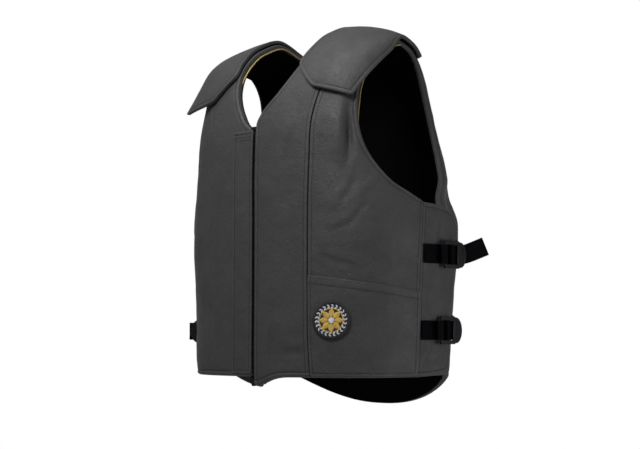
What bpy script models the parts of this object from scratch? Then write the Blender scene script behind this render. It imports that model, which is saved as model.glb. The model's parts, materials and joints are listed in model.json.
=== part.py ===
"""Bull riding vest in its worn form: padded leather panels round an open torso hollow.

Metres, +Z up. The front faces -Y and the wearer's left is +X. The origin lies midway
between the shoulders, where the shoulders of the wearer carry the vest.

A place on the outer surface is a turn round the body in degrees (0 centre front, 90 the
wearer's left side, 180 centre back) and a level. The level is the height above the front
hem up to the chest, and then runs on over the shoulder to RIDGE, where front meets back.
"""

import math
from collections import namedtuple

import bmesh
import bpy
import numpy as np
from mathutils import Matrix, Vector

# Where the wearer's shoulders carry the vest, from the middle of the front hem
SHOULDERS = Vector((0.0, -0.025, 0.446))
UP = Vector((0.0, 0.0, 1.0))

# Thicknesses
PAD = 0.0085
LINING = 0.0012
LINING_DEPTH = 0.0093
SIDE_PAD = 0.0080
FLAP = 0.0050
POCKET = 0.0030
BADGE = 0.0012
STRIP = 0.0025
TAPE = 0.0012
GUARD = 0.0025
CLEAR = 0.0004

# Webbing and its ladder-lock buckles
WEB_WIDTH = 0.025
WEB_THICK = 0.0015
WEB_UNDER = 0.00135
WEB_TAIL = 0.0033
WEB_OVER = 0.0081
WEB_BEND = 0.0011
BUCKLE_HALF_HEIGHT = 0.018
BUCKLE_THICK = 0.0024
BUCKLE_OUT = 0.0057
SLOT_HALF_HEIGHT = 0.0132
UPPER_STRAP = 0.158
LOWER_STRAP = 0.060

# The opening and its zip
LEFT_EDGE = 0.0022
RIGHT_EDGE = 0.0018
STRIP_FROM = 0.0360
STRIP_TO = -0.0008
OPENING_TOP = 0.324

# The tail of the back panel and the drop of the left front corner
TAIL_DROP = 0.0426
TAIL_SPAN = 55.0
CORNER_DROP = 0.010
CORNER_SPAN = 0.024
HEM_BLEND = 0.06

SEAM_GAP = 0.60
BACK_SEAM_GAP = 0.75
SIDE_GAP = 0.50
SIDE_REAR = 110.0
BACK_EDGE = 99.0
RIDGE = 0.48
SHOULDER_END = 0.4790

Ring = namedtuple(
    "Ring", "level half front back middle front_z side_z back_z front_square back_square"
)
RINGS = [
    Ring(-0.06, 0.177, 0.139, 0.123, 0.000, -0.060, -0.060, -0.060, 2.7, 2.2),
    Ring(0.00, 0.181, 0.141, 0.127, 0.000, 0.000, 0.000, 0.000, 2.7, 2.3),
    Ring(0.10, 0.186, 0.141, 0.131, 0.000, 0.100, 0.100, 0.100, 2.7, 2.4),
    Ring(0.20, 0.189, 0.141, 0.134, 0.000, 0.200, 0.200, 0.200, 2.8, 2.6),
    Ring(0.28, 0.176, 0.141, 0.132, -0.002, 0.278, 0.282, 0.278, 2.9, 2.8),
    Ring(0.34, 0.166, 0.137, 0.120, -0.008, 0.336, 0.343, 0.337, 3.0, 3.0),
    Ring(0.39, 0.161, 0.121, 0.095, -0.016, 0.386, 0.392, 0.387, 3.0, 3.0),
    Ring(0.43, 0.160, 0.095, 0.055, -0.022, 0.424, 0.424, 0.425, 3.0, 3.0),
    Ring(0.46, 0.157, 0.062, 0.015, -0.025, 0.449, 0.437, 0.449, 3.0, 3.0),
    Ring(0.48, 0.155, 0.025, -0.025, -0.025, 0.462, 0.442, 0.462, 3.0, 3.0),
    Ring(0.50, 0.157, -0.012, -0.065, -0.025, 0.449, 0.437, 0.449, 3.0, 3.0),
]

# Rows of the front from hem to shoulder: the neck or centre edge on the left and the right
# and the long seam as distances from the centre, the side seam or armhole edge as a turn
FrontRow = namedtuple("FrontRow", "level edge right_edge seam outer")
FRONT_ROWS = [
    FrontRow(0.000, 0.0000, 0.0000, 0.0939, 84.4),
    FrontRow(0.050, 0.0000, 0.0000, 0.0915, 84.4),
    FrontRow(0.100, 0.0000, 0.0000, 0.0908, 84.4),
    FrontRow(0.150, 0.0000, 0.0000, 0.0911, 84.6),
    FrontRow(0.200, 0.0000, 0.0000, 0.0915, 86.0),
    FrontRow(0.2260, 0.0000, 0.0000, 0.0920, 87.6),
    FrontRow(0.2355, 0.0000, 0.0000, 0.0922, 81.2),
    FrontRow(0.2450, 0.0000, 0.0000, 0.0924, 73.6),
    FrontRow(0.2600, 0.0000, 0.0000, 0.0928, 66.6),
    FrontRow(0.2760, 0.0000, 0.0000, 0.0932, 61.2),
    FrontRow(0.2940, 0.0000, 0.0000, 0.0935, 57.3),
    FrontRow(0.3150, 0.0000, 0.0000, 0.0940, 55.5),
    FrontRow(0.3310, 0.0010, 0.0025, 0.0945, 55.2),
    FrontRow(0.3520, 0.0111, 0.0250, 0.0962, 55.8),
    FrontRow(0.3710, 0.0293, 0.0376, 0.1000, 57.0),
    FrontRow(0.3960, 0.0454, 0.0505, 0.1040, 61.0),
    FrontRow(0.4200, 0.0556, 0.0576, 0.1060, 66.5),
    FrontRow(0.4430, 0.0606, 0.0609, 0.1068, 72.0),
    FrontRow(0.4600, 0.0618, 0.0618, 0.1075, 75.0),
    FrontRow(0.4700, 0.0620, 0.0620, 0.1078, 75.5),
    FrontRow(0.4765, 0.0620, 0.0620, 0.1080, 75.0),
    FrontRow(SHOULDER_END, 0.0620, 0.0620, 0.1080, 74.5),
]

# Rows of the back: centre or neckline edge, then side or armhole edge
BackRow = namedtuple("BackRow", "inner_level outer_level edge outer")
BLADE = 0.105
BACK_ROWS = [
    BackRow(0.000, 0.000, 0.0, BACK_EDGE),
    BackRow(0.030, 0.030, 0.0, BACK_EDGE),
    BackRow(0.080, 0.080, 0.0, BACK_EDGE),
    BackRow(0.140, 0.140, 0.0, BACK_EDGE),
    BackRow(0.195, 0.195, 0.0, BACK_EDGE),
    BackRow(0.235, 0.225, 0.0, 99.5),
    BackRow(0.275, 0.265, 0.0, 101.0),
    BackRow(0.315, 0.305, 0.0, 102.0),
    BackRow(0.350, 0.345, 0.0, 103.5),
    BackRow(0.385, 0.380, 0.0, 105.5),
    BackRow(0.412, 0.405, 0.0, 107.0),
    BackRow(0.432, 0.425, 0.0, 107.5),
    BackRow(0.436, 0.440, 0.0280, 107.5),
    BackRow(0.450, 0.458, 0.0540, 106.5),
    BackRow(0.468, 0.469, 0.0615, 105.0),
    BackRow(0.4765, 0.4765, 0.0620, 105.0),
    BackRow(SHOULDER_END, SHOULDER_END, 0.0620, 105.0),
]

# Rows of a shoulder flap from its front edge over the ridge to the back
FlapRow = namedtuple("FlapRow", "neck_turn neck_level arm_turn arm_level")
FLAP_ROWS = [
    FlapRow(24.8, 0.3725, 51.0, 0.355),
    FlapRow(18.4, 0.3880, 56.5, 0.370),
    FlapRow(12.8, 0.4072, 63.5, 0.389),
    FlapRow(13.4, 0.4255, 71.0, 0.409),
    FlapRow(14.3, 0.4440, 78.0, 0.429),
    FlapRow(14.7, 0.4620, 81.0, 0.454),
    FlapRow(14.7, 0.4720, 81.4, 0.468),
    FlapRow(14.5, RIDGE, 81.5, RIDGE),
    FlapRow(165.4, 0.4720, 100.5, 0.472),
    FlapRow(165.5, 0.4640, 103.0, 0.463),
    FlapRow(165.3, 0.4480, 104.6, 0.445),
    FlapRow(164.5, 0.4340, 105.6, 0.427),
]
FLAP_OUT = 0.0018
FLAP_SEWN_OUT = 0.0008
FLAP_LIFT = {1: 0.0, -1: 0.020}
RIDGE_ROW = 6

# Top edge of a side panel, from the side seam to its rounded rear corner
WING_TOP = [(84.0, 0.2250), (91.0, 0.2225), (98.0, 0.2190), (105.0, 0.2120), (110.0, 0.1960)]

POCKET_BOTTOM = 0.0015
POCKET_TOP_INNER = 0.1290
POCKET_TOP_OUTER = 0.1095
BADGE_TURN = 35.5
BADGE_LEVEL = 0.072
BADGE_RADIUS = 0.0235

PIPING = 0.0013
NECK_PIPING_GAP = 0.0011
ARM_PIPING_GAP = 0.0014

COLOURS = {
    # name: colour, roughness
    "leather": ((0.060, 0.060, 0.060), 0.55),
    "lining": ((0.004, 0.004, 0.004), 0.90),
    "gold_piping": ((0.36, 0.25, 0.08), 0.60),
    "webbing": ((0.006, 0.006, 0.009), 0.85),
    "buckle_plastic": ((0.010, 0.011, 0.015), 0.40),
    "embroidery": ((0.030, 0.050, 0.120), 0.70),
    "zip_metal": ((0.020, 0.020, 0.020), 0.40),
}


def smooth(levels, values, level):
    """A value between table rows, on a curve through all of them."""
    slopes = np.gradient(values, levels)
    level = min(max(level, levels[0]), levels[-1])
    row = min(int(np.searchsorted(levels, level, side="right")) - 1, len(levels) - 2)
    span = levels[row + 1] - levels[row]
    t = (level - levels[row]) / span
    start, end = 2 * t**3 - 3 * t**2 + 1, 3 * t**2 - 2 * t**3
    leave, arrive = t**3 - 2 * t**2 + t, t**3 - t**2
    bend = span * (leave * slopes[row] + arrive * slopes[row + 1])
    return float(start * values[row] + end * values[row + 1] + bend)


def ring_at(level):
    table = np.array(RINGS)
    columns = [smooth(table[:, 0], column, level) for column in table[:, 1:].T]
    return Ring(level, *columns)


def outline(turn, level):
    """The point of the outer surface at a turn and level."""
    ring = ring_at(level)
    across, along = math.sin(math.radians(turn)), math.cos(math.radians(turn))
    front = along >= 0
    square = ring.front_square if front else ring.back_square
    reach = -ring.front if front else ring.back
    top = ring.front_z if front else ring.back_z
    x = math.copysign(ring.half * abs(across) ** (2 / square), across)
    y = ring.middle + (reach - ring.middle) * abs(along) ** (2 / square)
    z = ring.side_z + (top - ring.side_z) * along * along
    return Vector((x, y, z)) - SHOULDERS


def outward(turn, level):
    """The outward direction of the surface there."""
    around = outline(turn + 0.5, level) - outline(turn - 0.5, level)
    upward = outline(turn, level + 0.001) - outline(turn, level - 0.001)
    return around.cross(upward).normalized()


def place(turn, level, out=0.0):
    """A point at a distance outside the surface, or inside it if negative."""
    return outline(turn, level) + outward(turn, level) * out


def turn_of(distance, level, back=False):
    """The turn at which the surface lies this far from the centre line."""
    ring = ring_at(level)
    square = ring.back_square if back else ring.front_square
    share = min(abs(distance) / ring.half, 1.0)
    turn = math.copysign(math.degrees(math.asin(share ** (square / 2))), distance)
    return 180.0 - turn if back else turn


def between(first, last, count):
    """Evenly spaced values, both ends included."""
    return [first + (last - first) * step / count for step in range(count + 1)]


def collection_for(name):
    made = bpy.data.collections.new(name)
    bpy.context.scene.collection.children.link(made)
    return made


def material_for(name):
    if name in bpy.data.materials:
        return bpy.data.materials[name]
    colour, roughness = COLOURS[name]
    made = bpy.data.materials.new(name)
    made.use_nodes = True
    shader = made.node_tree.nodes["Principled BSDF"]
    shader.inputs["Base Color"].default_value = (*colour, 1.0)
    shader.inputs["Roughness"].default_value = roughness
    return made


def add_object(name, data, material):
    made = bpy.data.objects.new(name, data)
    made.data.materials.append(material_for(material))
    bpy.data.collections["bull_riding_vest"].objects.link(made)
    return made


def thicken(piece, thickness, offset):
    solidify = piece.modifiers.new("thickness", "SOLIDIFY")
    solidify.thickness = thickness
    solidify.offset = offset
    solidify.use_even_offset = True


def sheet_of(name, rows, thickness, material, offset=-1.0, mirrored=False):
    """A grid of points as an open surface, with its wall set to one side of it."""
    width = len(rows[0])
    mesh = bpy.data.meshes.new(name)
    corners = [
        (r * width + c, r * width + c + 1, (r + 1) * width + c + 1, (r + 1) * width + c)
        for r in range(len(rows) - 1)
        for c in range(width - 1)
    ]
    mesh.from_pydata([point for row in rows for point in row], [], corners)
    mesh.shade_smooth()
    piece = add_object(name, mesh, material)
    if mirrored:
        mirror = piece.modifiers.new("other half", "MIRROR")
        mirror.merge_threshold = 0.0001
    thicken(piece, thickness, offset)
    return piece


def sided(rows, side):
    """Places as they are on the wearer's left, or turned over for the right."""
    if side > 0:
        return rows
    return [[(-turn, level) for turn, level in reversed(row)] for row in rows]


def side_name(side):
    return "left" if side > 0 else "right"


def front_edge(row, side):
    return max(row.edge, LEFT_EDGE) if side > 0 else max(row.right_edge, RIGHT_EDGE)


def front_turns(row, side, gap=0.0):
    """Turns across one row: four steps to the long seam, then seven to the outer edge."""
    inner = front_edge(row, side)
    seam = turn_of(row.seam, row.level)
    centre = [turn_of(x, row.level) for x in between(inner, row.seam, 4)]
    centre[-1] = seam - gap / 2
    outer = between(seam, row.outer, 7)
    outer[0] = seam + gap / 2
    return centre, outer


def front_row_at(level):
    """A row of the front at any level below the armhole."""
    table = np.array(FRONT_ROWS)
    columns = [float(np.interp(level, table[:, 0], column)) for column in table[:, 1:].T]
    return FrontRow(level, *columns)


def corner_level(turn, level, side):
    """The left front drops towards its corner at the centre of the hem."""
    if side < 0 or level >= HEM_BLEND:
        return level
    distance = outline(turn, 0.0).x
    drop = CORNER_DROP * math.exp(-((distance / CORNER_SPAN) ** 2))
    return level - drop * (1 - level / HEM_BLEND)


def front_places(side, part, gap=SEAM_GAP):
    rows = []
    for row in FRONT_ROWS:
        centre, outer = front_turns(row, side, gap)
        turns = {"centre": centre, "side": outer, "lining": centre[:-1] + outer}[part]
        rows.append([(turn, corner_level(turn, row.level, side)) for turn in turns])
    return rows


def add_front(side):
    for part in ("centre", "side"):
        rows = sided(front_places(side, part), side)
        points = [[place(*spot) for spot in row] for row in rows]
        sheet_of(f"front_{part}_{side_name(side)}", points, PAD, "leather")
    rows = sided(front_places(side, "lining"), side)
    points = [[place(*spot, -LINING_DEPTH) for spot in row] for row in rows]
    sheet_of(f"front_lining_{side_name(side)}", points, LINING, "lining")


def tail_level(turn, level):
    """The back hangs lower in the middle, as a tail."""
    if level >= HEM_BLEND:
        return level
    share = min(abs(180.0 - turn) / TAIL_SPAN, 1.0)
    drop = TAIL_DROP * math.cos(math.radians(90 * share)) ** 1.5
    return level - drop * (1 - level / HEM_BLEND)


def tuck(turn, level):
    """How far the back lies inside the surface where the side panels lap over it."""
    round_body = min(max((131.0 - turn) / 18.0, 0.0), 1.0)
    below_arm = min(max((0.262 - level) / 0.030, 0.0), 1.0)
    share = round_body * below_arm
    return (SIDE_PAD + 2 * CLEAR) * share * share * (3 - 2 * share)


def back_places(part="whole"):
    """Rows of the back, or of its part inside or outside the long seam, outer edge first."""
    rows = []
    for row in BACK_ROWS:
        blade = turn_of(BLADE, row.inner_level, back=True)
        inner = [turn_of(x, row.inner_level, back=True) for x in between(row.edge, BLADE, 5)]
        outer = between(blade, row.outer, 5)
        levels = between(row.inner_level, row.outer_level, 10)
        if part == "centre":
            turns = inner[:-1] + [blade + BACK_SEAM_GAP / 2]
            levels = levels[:6]
        elif part == "side":
            turns = [blade - BACK_SEAM_GAP / 2] + outer[1:]
            levels = levels[5:]
        else:
            turns = inner[:-1] + outer
        rows.append([(turn, tail_level(turn, level)) for turn, level in zip(turns, levels)])
    return [list(reversed(row)) for row in rows]


def back_points(part, depth=0.0):
    return [
        [place(turn, level, -depth - tuck(turn, level)) for turn, level in row]
        for row in back_places(part)
    ]


def add_back():
    sheet_of("back_centre", back_points("centre"), PAD, "leather", mirrored=True)
    sheet_of("back_lining", back_points("whole", LINING_DEPTH), LINING, "lining", mirrored=True)
    for side in (1, -1):
        rows = back_points("side")
        if side < 0:
            rows = [[Vector((-p.x, p.y, p.z)) for p in reversed(row)] for row in rows]
        sheet_of(f"back_side_{side_name(side)}", rows, PAD, "leather")


def add_side_panel(side):
    rows = []
    turns, tops = zip(*WING_TOP)
    for share in between(0.0, 1.0, 6):
        row = []
        for step in between(0.0, 1.0, 5):
            seam = front_row_at(0.2250 * share).outer + SIDE_GAP
            turn = seam + (SIDE_REAR - seam) * step
            row.append((turn, share * float(np.interp(turn, turns, tops))))
        rows.append(row)
    points = [[place(*spot) for spot in row] for row in sided(rows, side)]
    sheet_of(f"side_panel_{side_name(side)}", points, SIDE_PAD, "leather")


def add_flap(side):
    """The flap is sewn to the back and lies over the front strap; one corner stands proud."""
    rows = []
    last = len(FLAP_ROWS) - 1
    for number, row in enumerate(FLAP_ROWS):
        lift = FLAP_LIFT[side] * (1 - number / last) ** 2
        out = FLAP + float(np.interp(number, (RIDGE_ROW, last), (FLAP_OUT, FLAP_SEWN_OUT)))
        points = []
        for share in between(0.0, 1.0, 6):
            turn = row.neck_turn + (row.arm_turn - row.neck_turn) * share
            level = row.neck_level + (row.arm_level - row.neck_level) * share
            points.append(place(turn, level, out + lift * share**1.5))
        rows.append(points)
    if side < 0:
        rows = [[Vector((-p.x, p.y, p.z)) for p in reversed(row)] for row in rows]
    sheet_of(f"shoulder_flap_{side_name(side)}", rows, FLAP, "leather")


def pocket_top(share):
    return POCKET_TOP_INNER + (POCKET_TOP_OUTER - POCKET_TOP_INNER) * share


def add_pocket():
    rows = []
    for share in between(0.0, 1.0, 4):
        row = []
        for column in range(8):
            top = pocket_top(column / 7)
            level = POCKET_BOTTOM + (top - POCKET_BOTTOM) * share
            turns = front_turns(front_row_at(level), 1)[1]
            turn = turns[column] + {0: 1.0, 7: -0.8}.get(column, 0.0)
            row.append((turn, level))
        rows.append(row)
    points = [[place(*spot, CLEAR + POCKET) for spot in row] for row in rows]
    sheet_of("pocket", points, POCKET, "leather")


def add_badge():
    """A round patch laid on the pocket: rings of points about its centre."""
    out = CLEAR + POCKET + 2 * CLEAR + BADGE
    step = (outline(BADGE_TURN + 1, BADGE_LEVEL) - outline(BADGE_TURN, BADGE_LEVEL)).length
    mesh = bpy.data.meshes.new("badge")
    shape = bmesh.new()
    bmesh.ops.create_circle(shape, cap_ends=True, segments=24, radius=BADGE_RADIUS)
    bmesh.ops.poke(shape, faces=shape.faces[:])
    spokes = [edge for edge in shape.edges if not edge.is_boundary]
    bmesh.ops.subdivide_edges(shape, edges=spokes, cuts=1)
    for vert in shape.verts:
        turn = BADGE_TURN + vert.co.x / step
        vert.co = place(turn, BADGE_LEVEL + vert.co.y, out)
    shape.to_mesh(mesh)
    shape.free()
    thicken(add_object("badge", mesh, "embroidery"), BADGE, -1.0)


def centre_places(left, right, bottom, top, columns):
    """Places of a strip along the opening, from one distance to another."""
    levels = [bottom] + [row.level for row in FRONT_ROWS if bottom < row.level < top] + [top]
    return [
        [(turn_of(x, level), level) for x in between(left, right, columns)] for level in levels
    ]


def add_opening():
    rows = centre_places(-STRIP_FROM, -STRIP_TO, 0.004, OPENING_TOP - 0.002, 3)
    points = [[place(*spot, CLEAR + STRIP) for spot in row] for row in rows]
    sheet_of("placket_strip", points, STRIP, "leather")

    behind = LINING_DEPTH + LINING + CLEAR
    rows = centre_places(-0.014, 0.014, -0.010, OPENING_TOP, 4)
    points = [[place(*spot, -behind) for spot in row] for row in rows]
    sheet_of("zip_tape", points, TAPE, "lining")

    behind += TAPE + CLEAR
    rows = centre_places(-0.040, 0.010, -0.008, OPENING_TOP - 0.006, 4)
    rows.insert(0, [(turn_of(x, -0.0145), -0.0145) for x in between(-0.032, -0.004, 4)])
    points = [[place(*spot, -behind) for spot in row] for row in rows]
    sheet_of("zip_guard", points, GUARD, "leather")

    points = [
        [place(turn_of(x, level), level, -0.0055) for x in (-0.0075, -0.0005)]
        for level in (-0.0125, -0.0010)
    ]
    sheet_of("zip_pin", points, LINING_DEPTH + LINING - 0.0055, "zip_metal")


def tube_of(name, points):
    curve = bpy.data.curves.new(name, "CURVE")
    curve.dimensions = "3D"
    curve.bevel_depth = PIPING
    curve.bevel_resolution = 1
    curve.use_fill_caps = True
    line = curve.splines.new("POLY")
    line.points.add(len(points) - 1)
    for spot, point in zip(line.points, points):
        spot.co = (*point, 1.0)
    return add_object(name, curve, "gold_piping")


def piping_points(rows, at_end, gap):
    """Points just outside the inner corner of a panel's cut edge."""
    edges = [row[-1] if at_end else row[0] for row in rows]
    insides = [row[-2] if at_end else row[1] for row in rows]
    depths = [tuck(*edge) if edge[0] > 90 else 0.0 for edge in edges]
    line = [place(*edge, -depth) for edge, depth in zip(edges, depths)]
    points = []
    for number, point in enumerate(line):
        run = line[min(number + 1, len(line) - 1)] - line[max(number - 1, 0)]
        out = outward(*edges[number])
        beyond = run.cross(out).normalized()
        if beyond.dot(point - place(*insides[number])) < 0:
            beyond = -beyond
        points.append(point + beyond * (PIPING + gap) - out * (PAD - PIPING))
    return points


def flipped(points, side):
    return [Vector((side * p.x, p.y, p.z)) for p in points]


def add_piping():
    for side in (1, -1):
        name = side_name(side)
        centre = front_places(side, "centre")[13:]
        tube_of(f"piping_neck_{name}", flipped(piping_points(centre, False, NECK_PIPING_GAP), side))
        outer = front_places(side, "side")[6:]
        tube_of(f"piping_arm_{name}", flipped(piping_points(outer, True, ARM_PIPING_GAP), side))
        back = back_places()[6:-1]
        tube_of(f"piping_arm_back_{name}", flipped(piping_points(back, False, ARM_PIPING_GAP), side))
    half = piping_points(back_places()[11:], True, NECK_PIPING_GAP)
    half[0].x = 0.0
    tube_of("piping_neck_back", flipped(half[:0:-1], -1) + half)


Frame = namedtuple("Frame", "origin along out")


def in_frame(frame, along, out, rise=0.0):
    return frame.origin + frame.along * along + frame.out * out + UP * rise


def buckle_frame(level, turn, stand_off, swing):
    """The flat frame of a buckle on the left side, swung out by some degrees."""
    along = outline(turn + 5, level) - outline(turn, level)
    along.z = 0.0
    along = Matrix.Rotation(math.radians(-swing), 3, "Z") @ along.normalized()
    return Frame(place(turn, level, stand_off), along, along.cross(UP))


def ribbon(name, path, side):
    """Webbing on edge along a path, given on the wearer's left."""
    rise = UP * (WEB_WIDTH / 2)
    path = flipped(path, side)
    lower, upper = [p - rise for p in path], [p + rise for p in path]
    rows = [lower, upper] if side > 0 else [lower[::-1], upper[::-1]]
    sheet_of(name, rows, WEB_THICK, "webbing", offset=0.0)


def loop_round(frame, near, far, tail, tail_out):
    """Webbing that comes in under a bar, turns up over it and lies back."""
    bend = math.copysign(WEB_BEND, far - near)
    return [
        in_frame(frame, near, WEB_UNDER),
        in_frame(frame, far - bend, WEB_UNDER),
        in_frame(frame, far, WEB_UNDER + WEB_BEND),
        in_frame(frame, far, WEB_OVER - WEB_BEND),
        in_frame(frame, far - bend, WEB_OVER),
        in_frame(frame, tail, tail_out),
    ]


def add_buckle(name, frame, side):
    """A plate with two slots and a rounded thumb tab."""
    curve = bpy.data.curves.new(name, "CURVE")
    curve.dimensions = "2D"
    curve.fill_mode = "BOTH"
    curve.extrude = BUCKLE_THICK / 2
    half = BUCKLE_HALF_HEIGHT
    tab = [
        (0.034 + 0.013 * math.sin(math.radians(a)), (half - 0.002) * math.cos(math.radians(a)))
        for a in range(15, 166, 30)
    ]
    body = [(-0.0015, -half + 0.002), (-0.0015, half - 0.002), (0.0005, half), (0.0290, half)]
    slots = [(0.0015, 0.0118), (0.0148, 0.0265)]
    outlines = [body + tab + [(0.0290, -half), (0.0005, -half)]]
    for low, high in slots:
        tall = SLOT_HALF_HEIGHT
        outlines.append([(low, -tall), (high, -tall), (high, tall), (low, tall)])
    for points in outlines:
        line = curve.splines.new("POLY")
        line.use_cyclic_u = True
        line.points.add(len(points) - 1)
        for spot, (x, y) in zip(line.points, points):
            spot.co = (x, y, 0.0, 1.0)
    piece = add_object(name, curve, "buckle_plastic")
    along, out = flipped([frame.along, frame.out], side)
    centre = flipped([in_frame(frame, 0.0, BUCKLE_OUT)], side)[0]
    across = out.cross(along)
    turned = Matrix((along, across, out)).transposed().to_4x4()
    piece.matrix_world = Matrix.Translation(centre) @ turned


Strap = namedtuple("Strap", "name side level turn stand_off swing")
STRAPS = [
    Strap("upper", 1, UPPER_STRAP, 93.4, 0.0006, 2.0),
    Strap("lower", 1, LOWER_STRAP, 93.4, 0.0006, 2.0),
    Strap("upper", -1, UPPER_STRAP, 93.4, 0.0006, 2.0),
    Strap("lower", -1, LOWER_STRAP, 87.6, 0.0120, 108.0),
]
# The slack strap bows out from its buckle and back to the body: distance out, y
SLACK_BOW = [(0.246, -0.034), (0.240, -0.002), (0.228, 0.028), (0.208, 0.054), (0.180, 0.080)]
# The free tail that stands away behind the upper left buckle: along, out, rise
LONG_TAIL = [
    (0.034, 0.0033, 0.000),
    (0.049, 0.0033, 0.002),
    (0.056, 0.0080, 0.005),
    (0.071, 0.0205, 0.013),
]
SHORT_TAIL = [(0.030, 0.0033, 0.0), (0.036, 0.0034, 0.0)]


def add_strap(strap):
    frame = buckle_frame(strap.level, strap.turn, strap.stand_off, strap.swing)
    name = f"{strap.name}_{side_name(strap.side)}"
    add_buckle(f"buckle_{name}", frame, strap.side)

    slack = strap.swing > 90
    seam = [place(turn, strap.level, 0.0016) for turn in ((85.4,) if slack else (85.6, 89.5))]
    path = seam + loop_round(frame, -0.0075, 0.0029, -0.0060 if slack else -0.0110, WEB_OVER)
    ribbon(f"strap_{name}", path, strap.side)

    tail = LONG_TAIL if strap.name == "upper" and strap.side > 0 else SHORT_TAIL
    loop = loop_round(frame, 0.030, 0.0106, 0.0150, WEB_OVER)
    over = [in_frame(frame, 0.0161, 0.0070), in_frame(frame, 0.0161, 0.0044)]
    out = [in_frame(frame, 0.0175, WEB_TAIL)] + [in_frame(frame, *spot) for spot in tail]
    if slack:
        lead = [Vector((x, y, strap.level)) - SHOULDERS for x, y in reversed(SLACK_BOW)]
        start = (140.0, 133.0, 127.0)
    else:
        lead = [place(turn, strap.level, 0.0020) for turn in (114.0, 110.0, 106.5)]
        start = (140.0, 133.0, 127.0, 120.0)
    lie = [place(turn, strap.level, 0.0018) for turn in start]
    ribbon(f"strap_back_{name}", lie + lead + loop + over + out, strap.side)


def clear_scene():
    for item in list(bpy.data.objects):
        bpy.data.objects.remove(item)


def build():
    clear_scene()
    collection_for("bull_riding_vest")
    for side in (1, -1):
        add_front(side)
        add_side_panel(side)
        add_flap(side)
    add_back()
    add_pocket()
    add_badge()
    add_opening()
    add_piping()
    for strap in STRAPS:
        add_strap(strap)


build()
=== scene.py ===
"""Bull riding vest in its worn form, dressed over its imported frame.

Metres, +Z up. The front faces -Y and the wearer's left is +X. A place on the vest is a turn
round the body in degrees (0 centre front, 90 the wearer's left side, 180 centre back) and a
level up it, which runs on over the shoulder to RIDGE, where front meets back.
"""

import json
import math
from collections import namedtuple
from functools import partial

import bmesh
import bpy
import numpy as np
from mathutils import Matrix, Vector, noise
from mathutils.kdtree import KDTree

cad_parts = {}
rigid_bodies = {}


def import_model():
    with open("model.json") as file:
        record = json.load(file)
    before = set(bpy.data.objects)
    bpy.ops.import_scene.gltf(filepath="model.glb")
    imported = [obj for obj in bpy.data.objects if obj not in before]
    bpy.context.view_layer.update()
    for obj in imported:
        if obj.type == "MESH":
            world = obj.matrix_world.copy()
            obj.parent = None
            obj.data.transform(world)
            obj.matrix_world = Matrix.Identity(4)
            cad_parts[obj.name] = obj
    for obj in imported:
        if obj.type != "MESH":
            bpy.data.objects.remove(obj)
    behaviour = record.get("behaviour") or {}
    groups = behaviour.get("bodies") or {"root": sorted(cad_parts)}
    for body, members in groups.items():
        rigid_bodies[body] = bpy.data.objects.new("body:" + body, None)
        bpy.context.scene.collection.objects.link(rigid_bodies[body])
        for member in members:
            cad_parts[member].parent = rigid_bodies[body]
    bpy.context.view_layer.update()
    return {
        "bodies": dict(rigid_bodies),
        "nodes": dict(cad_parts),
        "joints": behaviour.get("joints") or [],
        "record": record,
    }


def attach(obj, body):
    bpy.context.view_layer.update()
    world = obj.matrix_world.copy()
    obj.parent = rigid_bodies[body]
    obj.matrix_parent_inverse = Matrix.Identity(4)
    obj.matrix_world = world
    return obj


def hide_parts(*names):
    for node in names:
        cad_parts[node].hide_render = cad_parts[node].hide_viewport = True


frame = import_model()

# The middle of the shoulders, from the middle of the front hem
SHOULDERS = np.array((0.0, -0.025, 0.446))
UP = np.array((0.0, 0.0, 1.0))
RIDGE = 0.48
TOP = 0.4799

# Thicknesses of the pieces, the depth of the linings' outer face, and the room between pieces
PAD = 0.0085
SIDE_PAD = 0.0080
LINING = 0.0012
FLAP = 0.0050
POCKET = 0.0028
BADGE = 0.0012
STRIP = 0.0025
TAPE = 0.0010
GUARD = 0.0025
LINING_DEPTH = 0.0093
CLEAR = 0.0004

# Edges of the fronts and of the strip, as distances from the centre line, and their top level
LEFT_EDGE = 0.0020
RIGHT_EDGE = 0.0016
STRIP_FROM = 0.0360
STRIP_TO = -0.0008
OPENING_TOP = 0.324

# How far the tail and the left front's corner drop, over what turn or distance, and the level
# up to which the rows above them give way
TAIL_DROP = 0.0426
TAIL_SPAN = 55.0
CORNER_DROP = 0.013
CORNER_SPAN = 0.029
HEM_BLEND = 0.06

# The rear turn of the side panels and the rise of their hem to it, the distance of the back's
# long seams from its centre, the level at which the armholes start, and half the room in the
# long seams, front and back
SIDE_REAR = 110.0
SIDE_HEM_RISE = 0.0065
BLADE = 0.105
ARM_CORNER = 0.2260
SEAM_HALF = {1: 0.0006, -1: 0.0002}
BACK_SEAM_HALF = 0.0004

# The pocket's mouth slants down towards the side
POCKET_FOOT = 0.0018
POCKET_TOP = (0.1290, 0.1095)

# Rows of stitches below the top of the strip
STRIP_ROWS = (0.0035, 0.0075, 0.0115)

# Piping, and its distance from the edge of the neck
PIPING_RADIUS = 0.0010
NECK_CORD_OUT = 0.0019

# Zip: half the tape's width, the rows of teeth, the pin below and the stop above, given as
# left, right, bottom, top and out, and the guard
TAPE_HALF = 0.014
TAPE_FOOT = -0.010
TEETH_ROWS = (-0.0008, 0.0010)
PIN_BOX = (-0.0075, -0.0005, -0.0125, -0.0010, -0.0056)
STOP_BOX = (-0.0065, 0.0024, 0.3255, 0.3305, -0.0006)
STOP = 0.0060
GUARD_FROM = -0.050
GUARD_WIDTH = 0.057
GUARD_FOOT = -0.0140
GUARD_SLANT = 0.0150

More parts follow.
